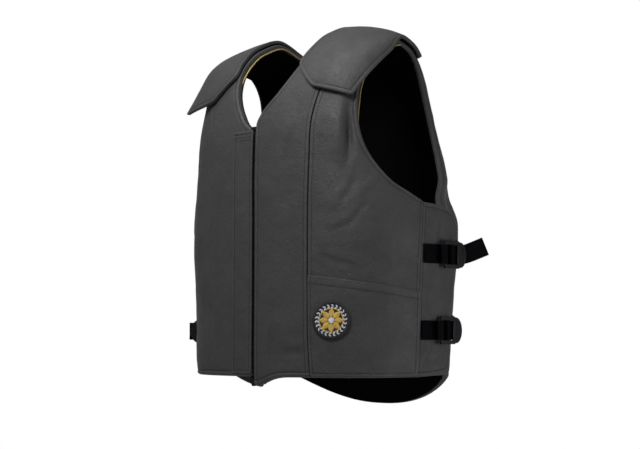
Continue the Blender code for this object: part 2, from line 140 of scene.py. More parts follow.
# Webbing and buckles: heights of the webbing under and over the bars, on leather and in its
# tail, the buckle's own height and half its width, and the levels of the straps
WEB_WIDTH = 0.025
WEB_THICK = 0.0015
WEB_UNDER = 0.00135
WEB_OVER = 0.0081
WEB_BEND = 0.0011
WEB_TAIL = 0.0033
WEB_ON_SEAM = 0.0016
WEB_ON_BACK = 0.0018
WEB_ON_SIDE = 0.0020
BUCKLE_OUT = 0.0057
BUCKLE_HALF = 0.018
UPPER_STRAP = 0.158
LOWER_STRAP = 0.060

# Badge on the pocket
BADGE_TURN = 35.5
BADGE_LEVEL = 0.072
BADGE_RADIUS = 0.0235
KNOT_RADIUS = 0.0036
ROPE_RADIUS = 0.0148
WREATH_RADIUS = 0.0175
ROPE_TWISTS = 42

# Rings round the body, the last of them past the ridge: half its width, how far its front and
# back reach, its middle, the heights of its front, side and back, and how square they are
Ring = namedtuple(
    "Ring", "level half front back middle front_z side_z back_z front_square back_square"
)
RINGS = [
    Ring(-0.06, 0.177, 0.139, 0.123, 0.000, -0.060, -0.060, -0.060, 2.7, 2.2),
    Ring(0.00, 0.181, 0.141, 0.127, 0.000, 0.000, 0.000, 0.000, 2.7, 2.3),
    Ring(0.10, 0.186, 0.141, 0.131, 0.000, 0.100, 0.100, 0.100, 2.7, 2.4),
    Ring(0.20, 0.189, 0.141, 0.134, 0.000, 0.200, 0.200, 0.200, 2.8, 2.6),
    Ring(0.28, 0.176, 0.141, 0.132, -0.002, 0.278, 0.282, 0.278, 2.9, 2.5),
    Ring(0.34, 0.166, 0.137, 0.120, -0.008, 0.336, 0.343, 0.337, 3.0, 2.4),
    Ring(0.39, 0.161, 0.121, 0.095, -0.016, 0.386, 0.390, 0.387, 3.0, 2.4),
    Ring(0.43, 0.161, 0.095, 0.055, -0.022, 0.424, 0.420, 0.425, 3.0, 2.6),
    Ring(0.46, 0.160, 0.062, 0.015, -0.025, 0.449, 0.432, 0.449, 3.0, 3.0),
    Ring(0.48, 0.160, 0.025, -0.025, -0.025, 0.462, 0.436, 0.462, 3.0, 3.0),
    Ring(0.50, 0.160, -0.012, -0.065, -0.025, 0.449, 0.432, 0.449, 3.0, 3.0),
]

# Lines on the front, as level then distance from the centre, on the left and on the right
NECK = [
    (0.3150, 0.0, 0.0),
    (0.3255, 0.0006, 0.0012),
    (0.3310, 0.0010, 0.0105),
    (0.3520, 0.0111, 0.0298),
    (0.3710, 0.0293, 0.0420),
    (0.3960, 0.0454, 0.0532),
    (0.4200, 0.0556, 0.0588),
    (0.4430, 0.0606, 0.0612),
    (0.4600, 0.0618, 0.0618),
    (0.4800, 0.0620, 0.0620),
]
LONG_SEAM = [
    (0.0000, 0.0939),
    (0.0500, 0.0915),
    (0.1000, 0.0908),
    (0.1500, 0.0911),
    (0.2260, 0.0920),
    (0.2760, 0.0932),
    (0.3310, 0.0945),
    (0.3710, 0.1000),
    (0.3960, 0.1040),
    (0.4300, 0.1063),
    (0.4800, 0.1080),
]
# Lines on the front, as level then turn
SIDE_SEAM = [(0.0, 84.4), (0.10, 84.4), (0.15, 84.6), (0.20, 86.0), (0.2260, 87.6)]
ARMHOLE = [
    (0.2260, 87.6),
    (0.2355, 81.2),
    (0.2450, 73.6),
    (0.2600, 66.6),
    (0.2760, 61.2),
    (0.2940, 57.3),
    (0.3150, 55.5),
    (0.3310, 55.2),
    (0.3520, 55.8),
    (0.3710, 57.0),
    (0.3960, 61.0),
    (0.4200, 66.5),
    (0.4430, 72.0),
    (0.4600, 75.0),
    (0.4800, 75.0),
]
# Rows up the back: levels at the centre and at the armhole, and the turn of the armhole
BACK_ROWS = [
    (0, 0.0000, 0.0000, 99.0),
    (3, 0.1000, 0.1000, 99.0),
    (6, 0.1950, 0.1950, 99.0),
    (7, 0.2350, 0.2250, 99.5),
    (8, 0.2750, 0.2650, 101.0),
    (9, 0.3150, 0.3050, 102.0),
    (10, 0.3500, 0.3450, 103.5),
    (11, 0.3850, 0.3800, 105.5),
    (12, 0.4120, 0.4050, 107.0),
    (13, 0.4320, 0.4280, 107.5),
    (14, 0.4500, 0.4560, 106.5),
    (15, 0.4680, 0.4690, 105.0),
    (16, TOP, TOP, 105.0),
]

# The neck opening of the back: levels, half its width and the power of its curve
NECK_BOTTOM = 0.432
NECK_TOP = 0.478
NECK_HALF = 0.062
NECK_POWER = 2.35

# Where the back starts to go in under the side panels, and how far its band behind the
# armhole turns in
TUCK_TURN = 131.0
TUCK_LEVEL = 0.262
FALL_AWAY = 0.0085

# Rows along a flap from its front edge: a turn and level at the neck, then at the arm
FLAP_FRONT = [
    (0, 24.8, 0.3725, 51.0, 0.355),
    (1, 18.4, 0.3880, 56.5, 0.370),
    (2, 12.8, 0.4072, 63.5, 0.389),
    (3, 13.4, 0.4255, 71.0, 0.409),
    (4, 14.3, 0.4440, 78.0, 0.429),
    (5, 14.7, 0.4620, 81.0, 0.454),
    (6, 14.7, 0.4720, 81.4, 0.468),
    (7, 14.5, RIDGE, 81.5, RIDGE),
]
FLAP_BACK = [
    (7, 165.5, RIDGE, 98.5, RIDGE),
    (8, 165.4, 0.4720, 102.0, 0.472),
    (9, 165.5, 0.4640, 105.5, 0.463),
    (10, 165.3, 0.4480, 108.0, 0.445),
    (11, 164.5, 0.4340, 110.0, 0.427),
]
# How far the flaps stand off the shoulders, at the sewn edge too, and the lift of the front
# corner on each side
FLAP_OUT = 0.0018
FLAP_SEWN_OUT = 0.0008
FLAP_LIFT = {1: 0.0, -1: 0.020}

# The top edge of the side panels, as turn then level
WING_TOP = [(84.0, 0.2255), (91.0, 0.2230), (98.0, 0.2200), (105.0, 0.2150), (110.0, 0.2090)]


def through(table, value):
    """The columns of a table at values of its first column, on smooth curves."""
    table = np.asarray(table, float)
    levels, columns = table[:, 0], table[:, 1:]
    slopes = np.gradient(columns, levels, axis=0)
    value = np.clip(np.asarray(value, float), levels[0], levels[-1])
    row = np.clip(np.searchsorted(levels, value, side="right") - 1, 0, len(levels) - 2)
    span = (levels[row + 1] - levels[row])[..., None]
    t = (value - levels[row])[..., None] / span
    start, end = 2 * t**3 - 3 * t**2 + 1, 3 * t**2 - 2 * t**3
    leave, arrive = t**3 - 2 * t**2 + t, t**3 - t**2
    bend = span * (leave * slopes[row] + arrive * slopes[row + 1])
    return np.moveaxis(start * columns[row] + end * columns[row + 1] + bend, -1, 0)


def outline(turn, level):
    """Points of the outer surface at turns and levels."""
    turn, level = np.broadcast_arrays(np.asarray(turn, float), np.asarray(level, float))
    ring = through(RINGS, level)
    half, front, back, middle, front_z, side_z, back_z, front_square, back_square = ring
    across, along = np.sin(np.radians(turn)), np.cos(np.radians(turn))
    square = np.where(along >= 0, front_square, back_square)
    reach = np.where(along >= 0, -front, back)
    top = np.where(along >= 0, front_z, back_z)
    x = half * np.sign(across) * np.abs(across) ** (2 / square)
    y = middle + (reach - middle) * np.abs(along) ** (2 / square)
    z = side_z + (top - side_z) * along * along
    return np.stack([x, y, z], axis=-1) - SHOULDERS


def unit(vectors):
    return vectors / np.maximum(np.linalg.norm(vectors, axis=-1, keepdims=True), 1e-12)


def ease(value, low, high):
    """0 below low, 1 above high, with a smooth step between."""
    t = np.clip((np.asarray(value, float) - low) / (high - low), 0.0, 1.0)
    return t * t * (3 - 2 * t)


def outward(turn, level):
    """Outward directions, upright at the ridge so that front and back meet there."""
    around = outline(turn + 0.5, level) - outline(turn - 0.5, level)
    upward = outline(turn, level + 0.001) - outline(turn, level - 0.001)
    normal = unit(np.cross(around, upward))
    normal[..., 1] *= 1.0 - ease(level, 0.468, RIDGE)
    return unit(normal)


def place(turn, level, out=0.0):
    turn, level = np.broadcast_arrays(np.asarray(turn, float), np.asarray(level, float))
    return outline(turn, level) + outward(turn, level) * np.asarray(out)[..., None]


def turn_of(distance, level, back=False):
    """The turn at which the surface lies this far from the centre line."""
    ring = through(RINGS, level)
    square = ring[8] if back else ring[7]
    share = np.clip(np.abs(distance) / ring[0], 0.0, 1.0)
    turn = np.sign(distance) * np.degrees(np.arcsin(share ** (square / 2)))
    return 180.0 - turn if back else turn


# Materials

def shader_material(name, colour, roughness, specular=0.5, metallic=0.0):
    """A new material with its Principled shader, ready for a colour and a bump."""
    made = bpy.data.materials.new(name)
    made.use_nodes = True
    shader = made.node_tree.nodes["Principled BSDF"]
    shader.inputs["Base Color"].default_value = (*colour, 1.0)
    shader.inputs["Roughness"].default_value = roughness
    shader.inputs["Specular IOR Level"].default_value = specular
    shader.inputs["Metallic"].default_value = metallic
    return made, made.node_tree, shader


def add_node(tree, kind, values=(), **settings):
    """A node with its inputs set to numbers or joined to other nodes' outputs."""
    made = tree.nodes.new(kind)
    for name, value in settings.items():
        setattr(made, name, value)
    for key, value in dict(values).items():
        if isinstance(value, bpy.types.NodeSocket):
            tree.links.new(value, made.inputs[key])
        else:
            made.inputs[key].default_value = value
    return made


def maths(tree, operation, first, second=0.0, clamp=False):
    values = {0: first, 1: second}
    return add_node(tree, "ShaderNodeMath", values, operation=operation, use_clamp=clamp).outputs[0]


def ramp(tree, value, low, high, dark=0.0, light=1.0):
    values = {"Value": value, 1: low, 2: high, 3: dark, 4: light}
    node = add_node(tree, "ShaderNodeMapRange", values, interpolation_type="SMOOTHSTEP")
    return node.outputs["Result"]


def on_object(tree):
    return add_node(tree, "ShaderNodeTexCoord").outputs["Object"]


def on_cloth(tree):
    return add_node(tree, "ShaderNodeUVMap", uv_map="UVMap").outputs["UV"]


def clouds(tree, where, scale, detail=2.0, output="Fac", **values):
    values = {"Vector": where, "Scale": scale, "Detail": detail, **values}
    return add_node(tree, "ShaderNodeTexNoise", values).outputs[output]


def bands(tree, where, scale, distortion, direction="DIAGONAL"):
    values = {"Vector": where, "Scale": scale, "Distortion": distortion}
    return add_node(tree, "ShaderNodeTexWave", values, bands_direction=direction).outputs["Fac"]


def cells(tree, where, scale, feature="F1", **values):
    values = {"Vector": where, "Scale": scale, **values}
    return add_node(tree, "ShaderNodeTexVoronoi", values, feature=feature).outputs["Distance"]


def tint(tree, shader, factor, dark, light):
    """Colours a shader between a dark and a light shade."""
    values = {"Factor": factor, "A": (*dark, 1.0), "B": (*light, 1.0)}
    shade = add_node(tree, "ShaderNodeMix", values, data_type="RGBA").outputs["Result"]
    tree.links.new(shade, shader.inputs["Base Color"])


def join_bumps(tree, shader, *bumps):
    """Chains bumps, each a height, its depth in metres and its strength."""
    normal = {}
    for height, depth, strength in bumps:
        values = {"Height": height, "Distance": depth, "Strength": strength, **normal}
        normal = {"Normal": add_node(tree, "ShaderNodeBump", values).outputs["Normal"]}
    tree.links.new(normal["Normal"], shader.inputs["Normal"])


def leather_material(name, dark, light, roughness):
    """Soft matte full-grain leather: pebble grain, pores and fine creases, darkened as painted
    shade in stitch furrows and folds and lightened as painted highlight on their crests.
    """
    made, tree, shader = shader_material(name, light, roughness, 0.34)
    where = on_object(tree)
    bent = {"Factor": 0.004, "A": where, "B": clouds(tree, where, 220.0, output="Color")}
    spot = add_node(tree, "ShaderNodeMix", bent, data_type="VECTOR").outputs["Result"]
    pebble = ramp(tree, cells(tree, spot, 780.0, "DISTANCE_TO_EDGE"), 0.0, 0.32)
    cloud = clouds(tree, where, 26.0, 5.0, Roughness=0.6)
    crease = clouds(tree, where, 115.0, 4.0, Roughness=0.55, Distortion=0.8)
    crease = maths(tree, "ABSOLUTE", maths(tree, "SUBTRACT", crease, 0.5))
    crease = ramp(tree, crease, 0.0, 0.06)
    # This attribute is painted shade in furrows and folds and painted highlight on crests, added to
    # the colour.
    painted_light_factor = add_node(tree, "ShaderNodeAttribute", attribute_name="wear").outputs["Fac"]
    shade = maths(tree, "MULTIPLY", cloud, 0.75)
    shade = maths(tree, "ADD", shade, maths(tree, "MULTIPLY", pebble, 0.16))
    shade = maths(tree, "ADD", shade, maths(tree, "MULTIPLY", painted_light_factor, 0.9), clamp=True)
    tint(tree, shader, shade, dark, light)
    gloss = ramp(tree, cloud, 0.3, 0.7, roughness + 0.07, roughness - 0.06)
    tree.links.new(gloss, shader.inputs["Roughness"])
    pores = clouds(tree, where, 2600.0)
    grain = ((crease, 0.00030, 0.40), (pebble, 0.00022, 0.50), (pores, 0.00010, 0.35))
    join_bumps(tree, shader, (cloud, 0.0060, 0.40), *grain)
    return made


def knit_material():
    """Black spacer mesh: small round openings in offset rows."""
    made, tree, shader = shader_material("black_mesh_lining", (0.0018, 0.0018, 0.0020), 0.95, 0.04)
    flat = on_cloth(tree)
    hole = ramp(tree, cells(tree, flat, 420.0, Randomness=0.12), 0.18, 0.42)
    tint(tree, shader, hole, (0.0006, 0.0006, 0.0007), (0.0028, 0.0028, 0.0031))
    yarn = bands(tree, flat, 900.0, 1.5, "X")
    join_bumps(tree, shader, (hole, 0.0004, 0.8), (yarn, 0.0001, 0.4))
    return made


def webbing_material():
    """Flat woven nylon: ribs along the strap in a herringbone, with firm selvedges."""
    colour = (0.0010, 0.0009, 0.0018)
    made, tree, shader = shader_material("black_nylon_webbing", colour, 0.75, 0.05)
    parts = add_node(tree, "ShaderNodeSeparateXYZ", {"Vector": on_cloth(tree)}).outputs
    fold = maths(tree, "PINGPONG", parts["X"], 0.0031)
    lean = maths(tree, "ADD", parts["Y"], maths(tree, "MULTIPLY", fold, 1.1))
    ribs = maths(tree, "SINE", maths(tree, "MULTIPLY", lean, 2 * math.pi / 0.0011))
    cords = maths(tree, "SINE", maths(tree, "MULTIPLY", parts["X"], 2 * math.pi / 0.00078))
    weave = maths(tree, "MULTIPLY", maths(tree, "ADD", ribs, cords), 0.25)
    weave = maths(tree, "ADD", weave, 0.5, clamp=True)
    tint(tree, shader, weave, (0.0003, 0.0003, 0.0006), (0.0030, 0.0026, 0.0050))
    join_bumps(tree, shader, (weave, 0.00035, 0.8))
    return made


def plastic_material():
    """Moulded acetal: fine spark texture and a cool satin sheen."""
    colour = (0.0020, 0.0022, 0.0040)
    made, tree, shader = shader_material("moulded_black_plastic", colour, 0.40, 0.30)
    where = on_object(tree)
    rubbed = clouds(tree, where, 160.0, 4.0)
    tree.links.new(ramp(tree, rubbed, 0.3, 0.7, 0.36, 0.50), shader.inputs["Roughness"])
    tint(tree, shader, rubbed, (0.0008, 0.0009, 0.0020), (0.0030, 0.0034, 0.0062))
    join_bumps(tree, shader, (clouds(tree, where, 3200.0), 0.00008, 0.5))
    return made


def thread_material(name, dark, light):
    """Twisted thread, with the lay of its plies and small changes of shade."""
    made, tree, shader = shader_material(name, light, 0.6, 0.3)
    where = on_object(tree)
    plies = bands(tree, where, 700.0, 2.0)
    patch = maths(tree, "MULTIPLY", clouds(tree, where, 180.0), 0.5)
    shade = maths(tree, "ADD", maths(tree, "MULTIPLY", plies, 0.6), patch, clamp=True)
    tint(tree, shader, shade, dark, light)
    join_bumps(tree, shader, (plies, 0.00012, 0.6))
    return made


def twill_material():
    """The ground of the badge: close navy twill."""
    made, tree, shader = shader_material("navy_twill", (0.012, 0.020, 0.055), 0.75)
    lines = bands(tree, on_object(tree), 620.0, 0.3)
    tint(tree, shader, lines, (0.006, 0.010, 0.030), (0.018, 0.030, 0.080))
    join_bumps(tree, shader, (lines, 0.0002, 0.7))
    return made


def zip_material():
    """Blackened metal teeth, a little rubbed."""
    made, tree, shader = shader_material("black_zip_metal", (0.02, 0.02, 0.02), 0.38, metallic=0.9)
    rub = clouds(tree, on_object(tree), 500.0, 3.0)
    tint(tree, shader, rub, (0.010, 0.010, 0.011), (0.050, 0.050, 0.052))
    join_bumps(tree, shader, (rub, 0.0001, 0.3))
    return made


LEATHER = leather_material("charcoal_leather", (0.030, 0.030, 0.031), (0.062, 0.062, 0.063), 0.56)
LINING_MESH = knit_material()
WEBBING = webbing_material()
PLASTIC = plastic_material()
GOLD = thread_material("gold_piping_cord", (0.20, 0.13, 0.035), (0.50, 0.37, 0.15))
SEAM_THREAD = thread_material("charcoal_seam_thread", (0.012, 0.012, 0.012), (0.040, 0.040, 0.041))
WHITE_THREAD = thread_material("white_badge_thread", (0.55, 0.56, 0.58), (0.85, 0.85, 0.84))
GOLD_THREAD = thread_material("gold_badge_thread", (0.45, 0.27, 0.04), (0.80, 0.55, 0.14))
TWILL = twill_material()
ZIP_METAL = zip_material()


# Soft walls made over a grid of places

# How an edge of a panel is finished: roundings outside and inside, a row of stitches with its
# furrow and the crest beside it, and how far the padding is drawn in
Edge = namedtuple("Edge", "roll lip stitch groove crest puff")
EDGES = {
    "free": Edge(0.0040, 0.0016, 0.0064, 0.00070, 0.00045, 0.0007),
    "soft": Edge(0.0020, 0.0012, 0.0060, 0.00045, 0.00030, 0.0006),
    "pinched": Edge(0.0024, 0.0018, 0.0064, 0.00050, 0.00025, 0.0036),
    "quiet": Edge(0.0004, 0.0003, 0.0, 0.0, 0.0, 0.0),
    "flap": Edge(0.0013, 0.0008, 0.0055, 0.00035, 0.00022, 0.0004),
    "sewn": Edge(0.0011, 0.0005, 0.0052, 0.00022, 0.00012, 0.0005),
    "thin": Edge(0.0007, 0.0004, 0.0040, 0.00030, 0.00016, 0.0002),
    "raised": Edge(0.0010, 0.0004, 0.0042, 0.00045, 0.00035, 0.0),
    "band": Edge(0.0008, 0.0004, 0.0098, 0.00020, 0.00005, 0.0002),
    "plain": Edge(0.0005, 0.0003, 0.0, 0.0, 0.0, 0.0),
}
# Distances from an edge at which its grid lines run
FINE = np.array([0, 0.15, 0.5, 1.1, 1.9, 2.8, 3.8, 4.6, 5.3, 5.9, 6.4, 7.0, 8.2, 10.2]) / 1000
COARSE = np.array([0, 0.15, 0.5, 1.5]) / 1000
# The width of the furrow that stitches press in, how far the padding is drawn in beside an
# edge, and how far the thread stands out
FURROW = 0.0007
PUFF_REACH = 0.011
THREAD_OUT = 0.00018

Panel = namedtuple("Panel", "piece area size")
Layout = namedtuple("Layout", "across up left bottom size")
# A finish carries, besides its shape, a field of painted shade and painted highlight for the
# leather's colour.
Finish = namedtuple("Finish", "drop lip relief wear calm sewing")
Crease = namedtuple("Crease", "turn level angle length width bend depth")
stitch_lines = []


def surface(shape, across, up):
    """Points and outward directions at shares across and up a piece."""
    spots = np.broadcast_arrays(*shape(across, up))
    turn, level, out = (spot.astype(float) for spot in spots)
    normal = outward(turn, level)
    return outline(turn, level) + normal * out[..., None], normal


def stations(length, steps, count, low=1.0, high=1.0):
    """Distances along lines of some lengths: fine at both ends and even between."""
    length = np.asarray(length, float)[..., None]
    low = steps * np.asarray(low, float)[..., None]
    high = steps * np.asarray(high, float)[..., None]
    squeeze = np.minimum(1.0, 0.8 * length / (low[..., -1:] + high[..., -1:]))
    low, high = low * squeeze, high * squeeze
    share = np.linspace(0, 1, count + 2)[1:-1]
    middle = low[..., -1:] + (length - high[..., -1:] - low[..., -1:]) * share
    return np.concatenate([low + 0 * length, middle, length - high[..., ::-1]], axis=-1)


def run_lengths(points, axis):
    """The way along lines of points from their start."""
    steps = np.linalg.norm(np.diff(points, axis=axis), axis=-1)
    start = np.zeros_like(np.take(steps, [0], axis=axis))
    return np.concatenate([start, np.cumsum(steps, axis=axis)], axis=axis)


def slant(edge, beside):
    """How much longer the rows run near an edge that they meet aslant."""
    cut = np.linalg.norm(np.cross(unit(np.gradient(edge, axis=0)), unit(beside - edge)), axis=-1)
    padded = np.pad(np.clip(cut, 0.3, 1.0), 4, mode="edge")
    return 1.0 / np.convolve(padded, np.ones(9) / 9, "valid")


def rounded_corner(a, b, radius):
    """Moves points near two edges, given by their distances, to turn the corner round."""
    if radius <= 0:
        return a, b
    near = (a < radius) & (b < radius)
    p = np.clip(1 - a / radius, 0, 1)
    q = np.clip(1 - b / radius, 0, 1)
    round_a = radius * (1 - p * np.sqrt(1 - q * q / 2))
    round_b = radius * (1 - q * np.sqrt(1 - p * p / 2))
    return np.where(near, round_a, a), np.where(near, round_b, b)


def nearest(points, lines):
    """The distance of each point from some lines of points."""
    share = np.linspace(0, 1, 8)[:, None, None]
    fine = [(line[:-1] * (1 - share) + line[1:] * share).reshape(-1, 3) for line in lines]
    fine = np.concatenate(fine)
    tree = KDTree(len(fine))
    for number, point in enumerate(fine):
        tree.insert(point, number)
    tree.balance()
    found = np.array([tree.find(point)[2] for point in points.reshape(-1, 3)])
    return found.reshape(points.shape[:-1])


def ripple(points, scale, seed):
    """Smooth unevenness at points, from -1 to 1, the same for the same seed."""
    shift = np.array((7.31, 3.17, 5.93)) * seed
    flat = points.reshape(-1, 3) * scale + shift
    return np.array([noise.noise(point) for point in flat]).reshape(points.shape[:-1])


def crease_depth(points, creases):
    """Folds pressed into the leather by use, each a soft furrow with a ridge beside it."""
    depth = np.zeros(points.shape[:-1])
    for crease in creases:
        centre = outline(crease.turn, crease.level)
        around = unit(outline(crease.turn + 0.5, crease.level) - centre)
        upward = unit(outline(crease.turn, crease.level + 0.002) - centre)
        angle = math.radians(crease.angle)
        along = (points - centre) @ (around * math.cos(angle) + upward * math.sin(angle))
        off = (points - centre) @ (upward * math.cos(angle) - around * math.sin(angle))
        off = off - crease.bend * along * along
        run = np.exp(-((along / crease.length) ** 2))
        ridge = np.exp(-(((off - 1.9 * crease.width) / (1.5 * crease.width)) ** 2))
        depth += crease.depth * run * (0.55 * ridge - np.exp(-((off / crease.width) ** 2)))
    return depth


def contour(points, field, value):
    """The line over a grid of points where a field passes a value: spots and their pairs."""
    high = (field > value).astype(int)
    corners = high[:-1, :-1] + high[:-1, 1:] + high[1:, :-1] + high[1:, 1:]
    spots, ids, pairs = [], {}, []
    for r, c in np.argwhere(corners % 4 != 0):
        ring = [(r, c), (r, c + 1), (r + 1, c + 1), (r + 1, c)]
        cuts = []
        for a, b in zip(ring, ring[1:] + ring[:1]):
            if high[a] == high[b]:
                continue
            a, b = sorted((a, b))
            if (a, b) not in ids:
                ids[a, b] = len(spots)
                share = (value - field[a]) / (field[b] - field[a])
                spots.append(points[a] * (1 - share) + points[b] * share)
            cuts.append(ids[a, b])
        pairs += list(zip(cuts[::2], cuts[1::2]))
    return spots, pairs


def new_object(name, data, material=None):
    made = bpy.data.objects.new(name, data)
    if material is not None:
        data.materials.append(material)
    bpy.context.scene.collection.objects.link(made)
    return made


def mesh_of(name, points, faces, uvs=None, wear=None):
    mesh = bpy.data.meshes.new(name)
    mesh.from_pydata([tuple(point) for point in points], [], faces)
    if uvs is not None:
        layer = mesh.uv_layers.new(name="UVMap")
        loops = np.zeros(len(mesh.loops), np.int32)
        mesh.loops.foreach_get("vertex_index", loops)
        layer.data.foreach_set("uv", np.asarray(uvs, np.float32)[loops].reshape(-1))
    # A point attribute of painted shade and painted highlight, which darkens and lightens the
    # leather's colour.
    if wear is not None:
        attribute = mesh.attributes.new("wear", "FLOAT", "POINT")
        attribute.data.foreach_set("value", np.asarray(wear, np.float32))
    mesh.shade_smooth()
    return mesh


def grid_faces(rows, columns, first, flip):
    faces = []
    for r in range(rows - 1):
        for c in range(columns - 1):
            a = first + r * columns + c
            quad = (a, a + 1, a + columns + 1, a + columns)
            faces.append(quad[::-1] if flip else quad)
    return faces


def rim_faces(rows, columns, open_ids):
    """Faces that join the borders of two grids, one after the other in one list."""
    border = [(0, c) for c in range(columns)]
    border += [(r, columns - 1) for r in range(1, rows)]
    border += [(rows - 1, c) for c in range(columns - 2, -1, -1)]
    border += [(r, 0) for r in range(rows - 2, 0, -1)]
    ids = [r * columns + c for r, c in border]
    second = rows * columns
    faces = []
    for a, b in zip(ids, ids[1:] + ids[:1]):
        if not (a in open_ids and b in open_ids):
            faces.append((b, a, a + second, b + second))
    return faces


def weld(mesh, chosen):
    """Joins the chosen points of a mesh where they meet."""
    shape = bmesh.new()
    shape.from_mesh(mesh)
    verts = [vert for vert in shape.verts if chosen(vert)]
    bmesh.ops.remove_doubles(shape, verts=verts, dist=1e-6)
    shape.to_mesh(mesh)
    shape.free()


def lay_out(shape, counts, steps, corners, keep, slanted):
    """A grid of shares over a shape, fine along its edges, with its corners turned round."""
    shares, heights = np.linspace(0, 1, 81), np.linspace(0, 1, 301)
    dense = surface(shape, shares[None, :], heights[:, None])[0]
    tall = run_lengths(dense, 0)[:, 40]
    up = np.interp(stations(tall[-1], steps, counts[1]), tall, heights)
    rows = surface(shape, shares[None, :], up[:, None])[0]
    wide = run_lengths(rows, 1)
    low = slant(rows[:, 0], rows[:, 1]) if slanted else np.ones(len(up))
    high = slant(rows[:, -1], rows[:, -2]) if slanted else np.ones(len(up))
    left = stations(wide[:, -1], steps, counts[0], low, high)
    across = np.array([np.interp(a, w, shares) for a, w in zip(left, wide)])
    right = wide[:, -1:] - left
    columns = surface(shape, across.mean(axis=0)[None, :], heights[:, None])[0]
    tall = run_lengths(columns, 0)
    bottom = stations(tall[-1], steps, counts[1]).T
    up = np.array([np.interp(b, t, heights) for b, t in zip(bottom.T, tall.T)]).T
    if keep is not None:
        row = int(np.argmin(np.abs(up[:, -1] - keep)))
        near = np.clip(1 - np.abs(np.arange(len(up)) - row) / 6, 0, 1)
        up += (keep - up[row, -1]) * near[:, None]
    top = tall[-1] - bottom

    a, b = rounded_corner(left, bottom, corners[0])
    c, d = rounded_corner(right, bottom, corners[1])
    e, f = rounded_corner(right, top, corners[2])
    g, h = rounded_corner(left, top, corners[3])
    across = across + ((a - left) + (g - left) - (c - right) - (e - right)) / wide[:, -1:]
    up = up + ((b - bottom) + (d - bottom) - (f - top) - (h - top)) / tall[-1]
    size = (float(wide[:, -1].max()), float(tall[-1].max()))
    return Layout(np.clip(across, 0, 1), np.clip(up, 0, 1), left, bottom, size)


def edge_lines(base, up, edges):
    """The lines along the borders of a grid, listed by their finish."""
    lines = {}
    borders = (base[:, 0], base[:, -1], base[0], base[-1])
    for border, finish, ups in zip(borders, edges, (up[:, 0], up[:, -1], up[0], up[0])):
        start = 0
        for end, style in [(1.0, finish)] if isinstance(finish, str) else finish:
            stop = int(np.searchsorted(ups, end - 1e-9)) if end < 1 else len(ups) - 1
            lines.setdefault(style, []).append(border[start : stop + 1])
            start = stop
    lines.pop("joined", None)
    return lines


def rounded_edge(off, radius):
    """How far an edge rounded to a radius falls away at distances from it."""
    curl = np.clip(radius - off, 0, radius)
    return radius - np.sqrt(np.maximum(radius**2 - curl**2, 0))


def finish_edges(base, lines, thickness):
    """What the finishes along its edges do to a wall, with painted shade and painted highlight
    beside the stitches, and the stitches that they bring.
    """
    drop, lip, relief, wear = (np.zeros(base.shape[:-1]) for _ in range(4))
    inside = np.ones(base.shape[:-1])
    sewing = []
    for style, borders in lines.items():
        edge = EDGES[style]
        off = nearest(base, borders)
        inside = np.minimum(inside, off)
        drop = np.maximum(drop, rounded_edge(off, min(edge.roll, thickness * 0.5)))
        lip = np.maximum(lip, rounded_edge(off, edge.lip))
        if edge.stitch:
            width = FURROW + 0.25 * edge.groove
            furrow = np.exp(-(((off - edge.stitch) / width) ** 2))
            crest = np.clip(1 - np.abs(off / edge.stitch * 2 - 1), 0, 1)
            relief += edge.crest * crest - edge.groove * furrow
            relief -= edge.puff * np.exp(-off / PUFF_REACH)
            # Painted highlight on the crest between edge and stitches, painted shade in the stitch
            # furrow.
            wear += 0.22 * crest - 0.30 * furrow
            sewing.append((off, edge.stitch))
    return Finish(drop, lip, relief, wear, ease(inside, 0.004, 0.018), sewing)


def sewn_lines(points, sewing):
    """The rows of stitches over a grid of points, as spots and their pairs."""
    spots, pairs = [], []
    for off, value in sewing:
        line, joins = contour(points, off, value)
        pairs += [(a + len(spots), b + len(spots)) for a, b in joins]
        spots += line
    return spots, pairs


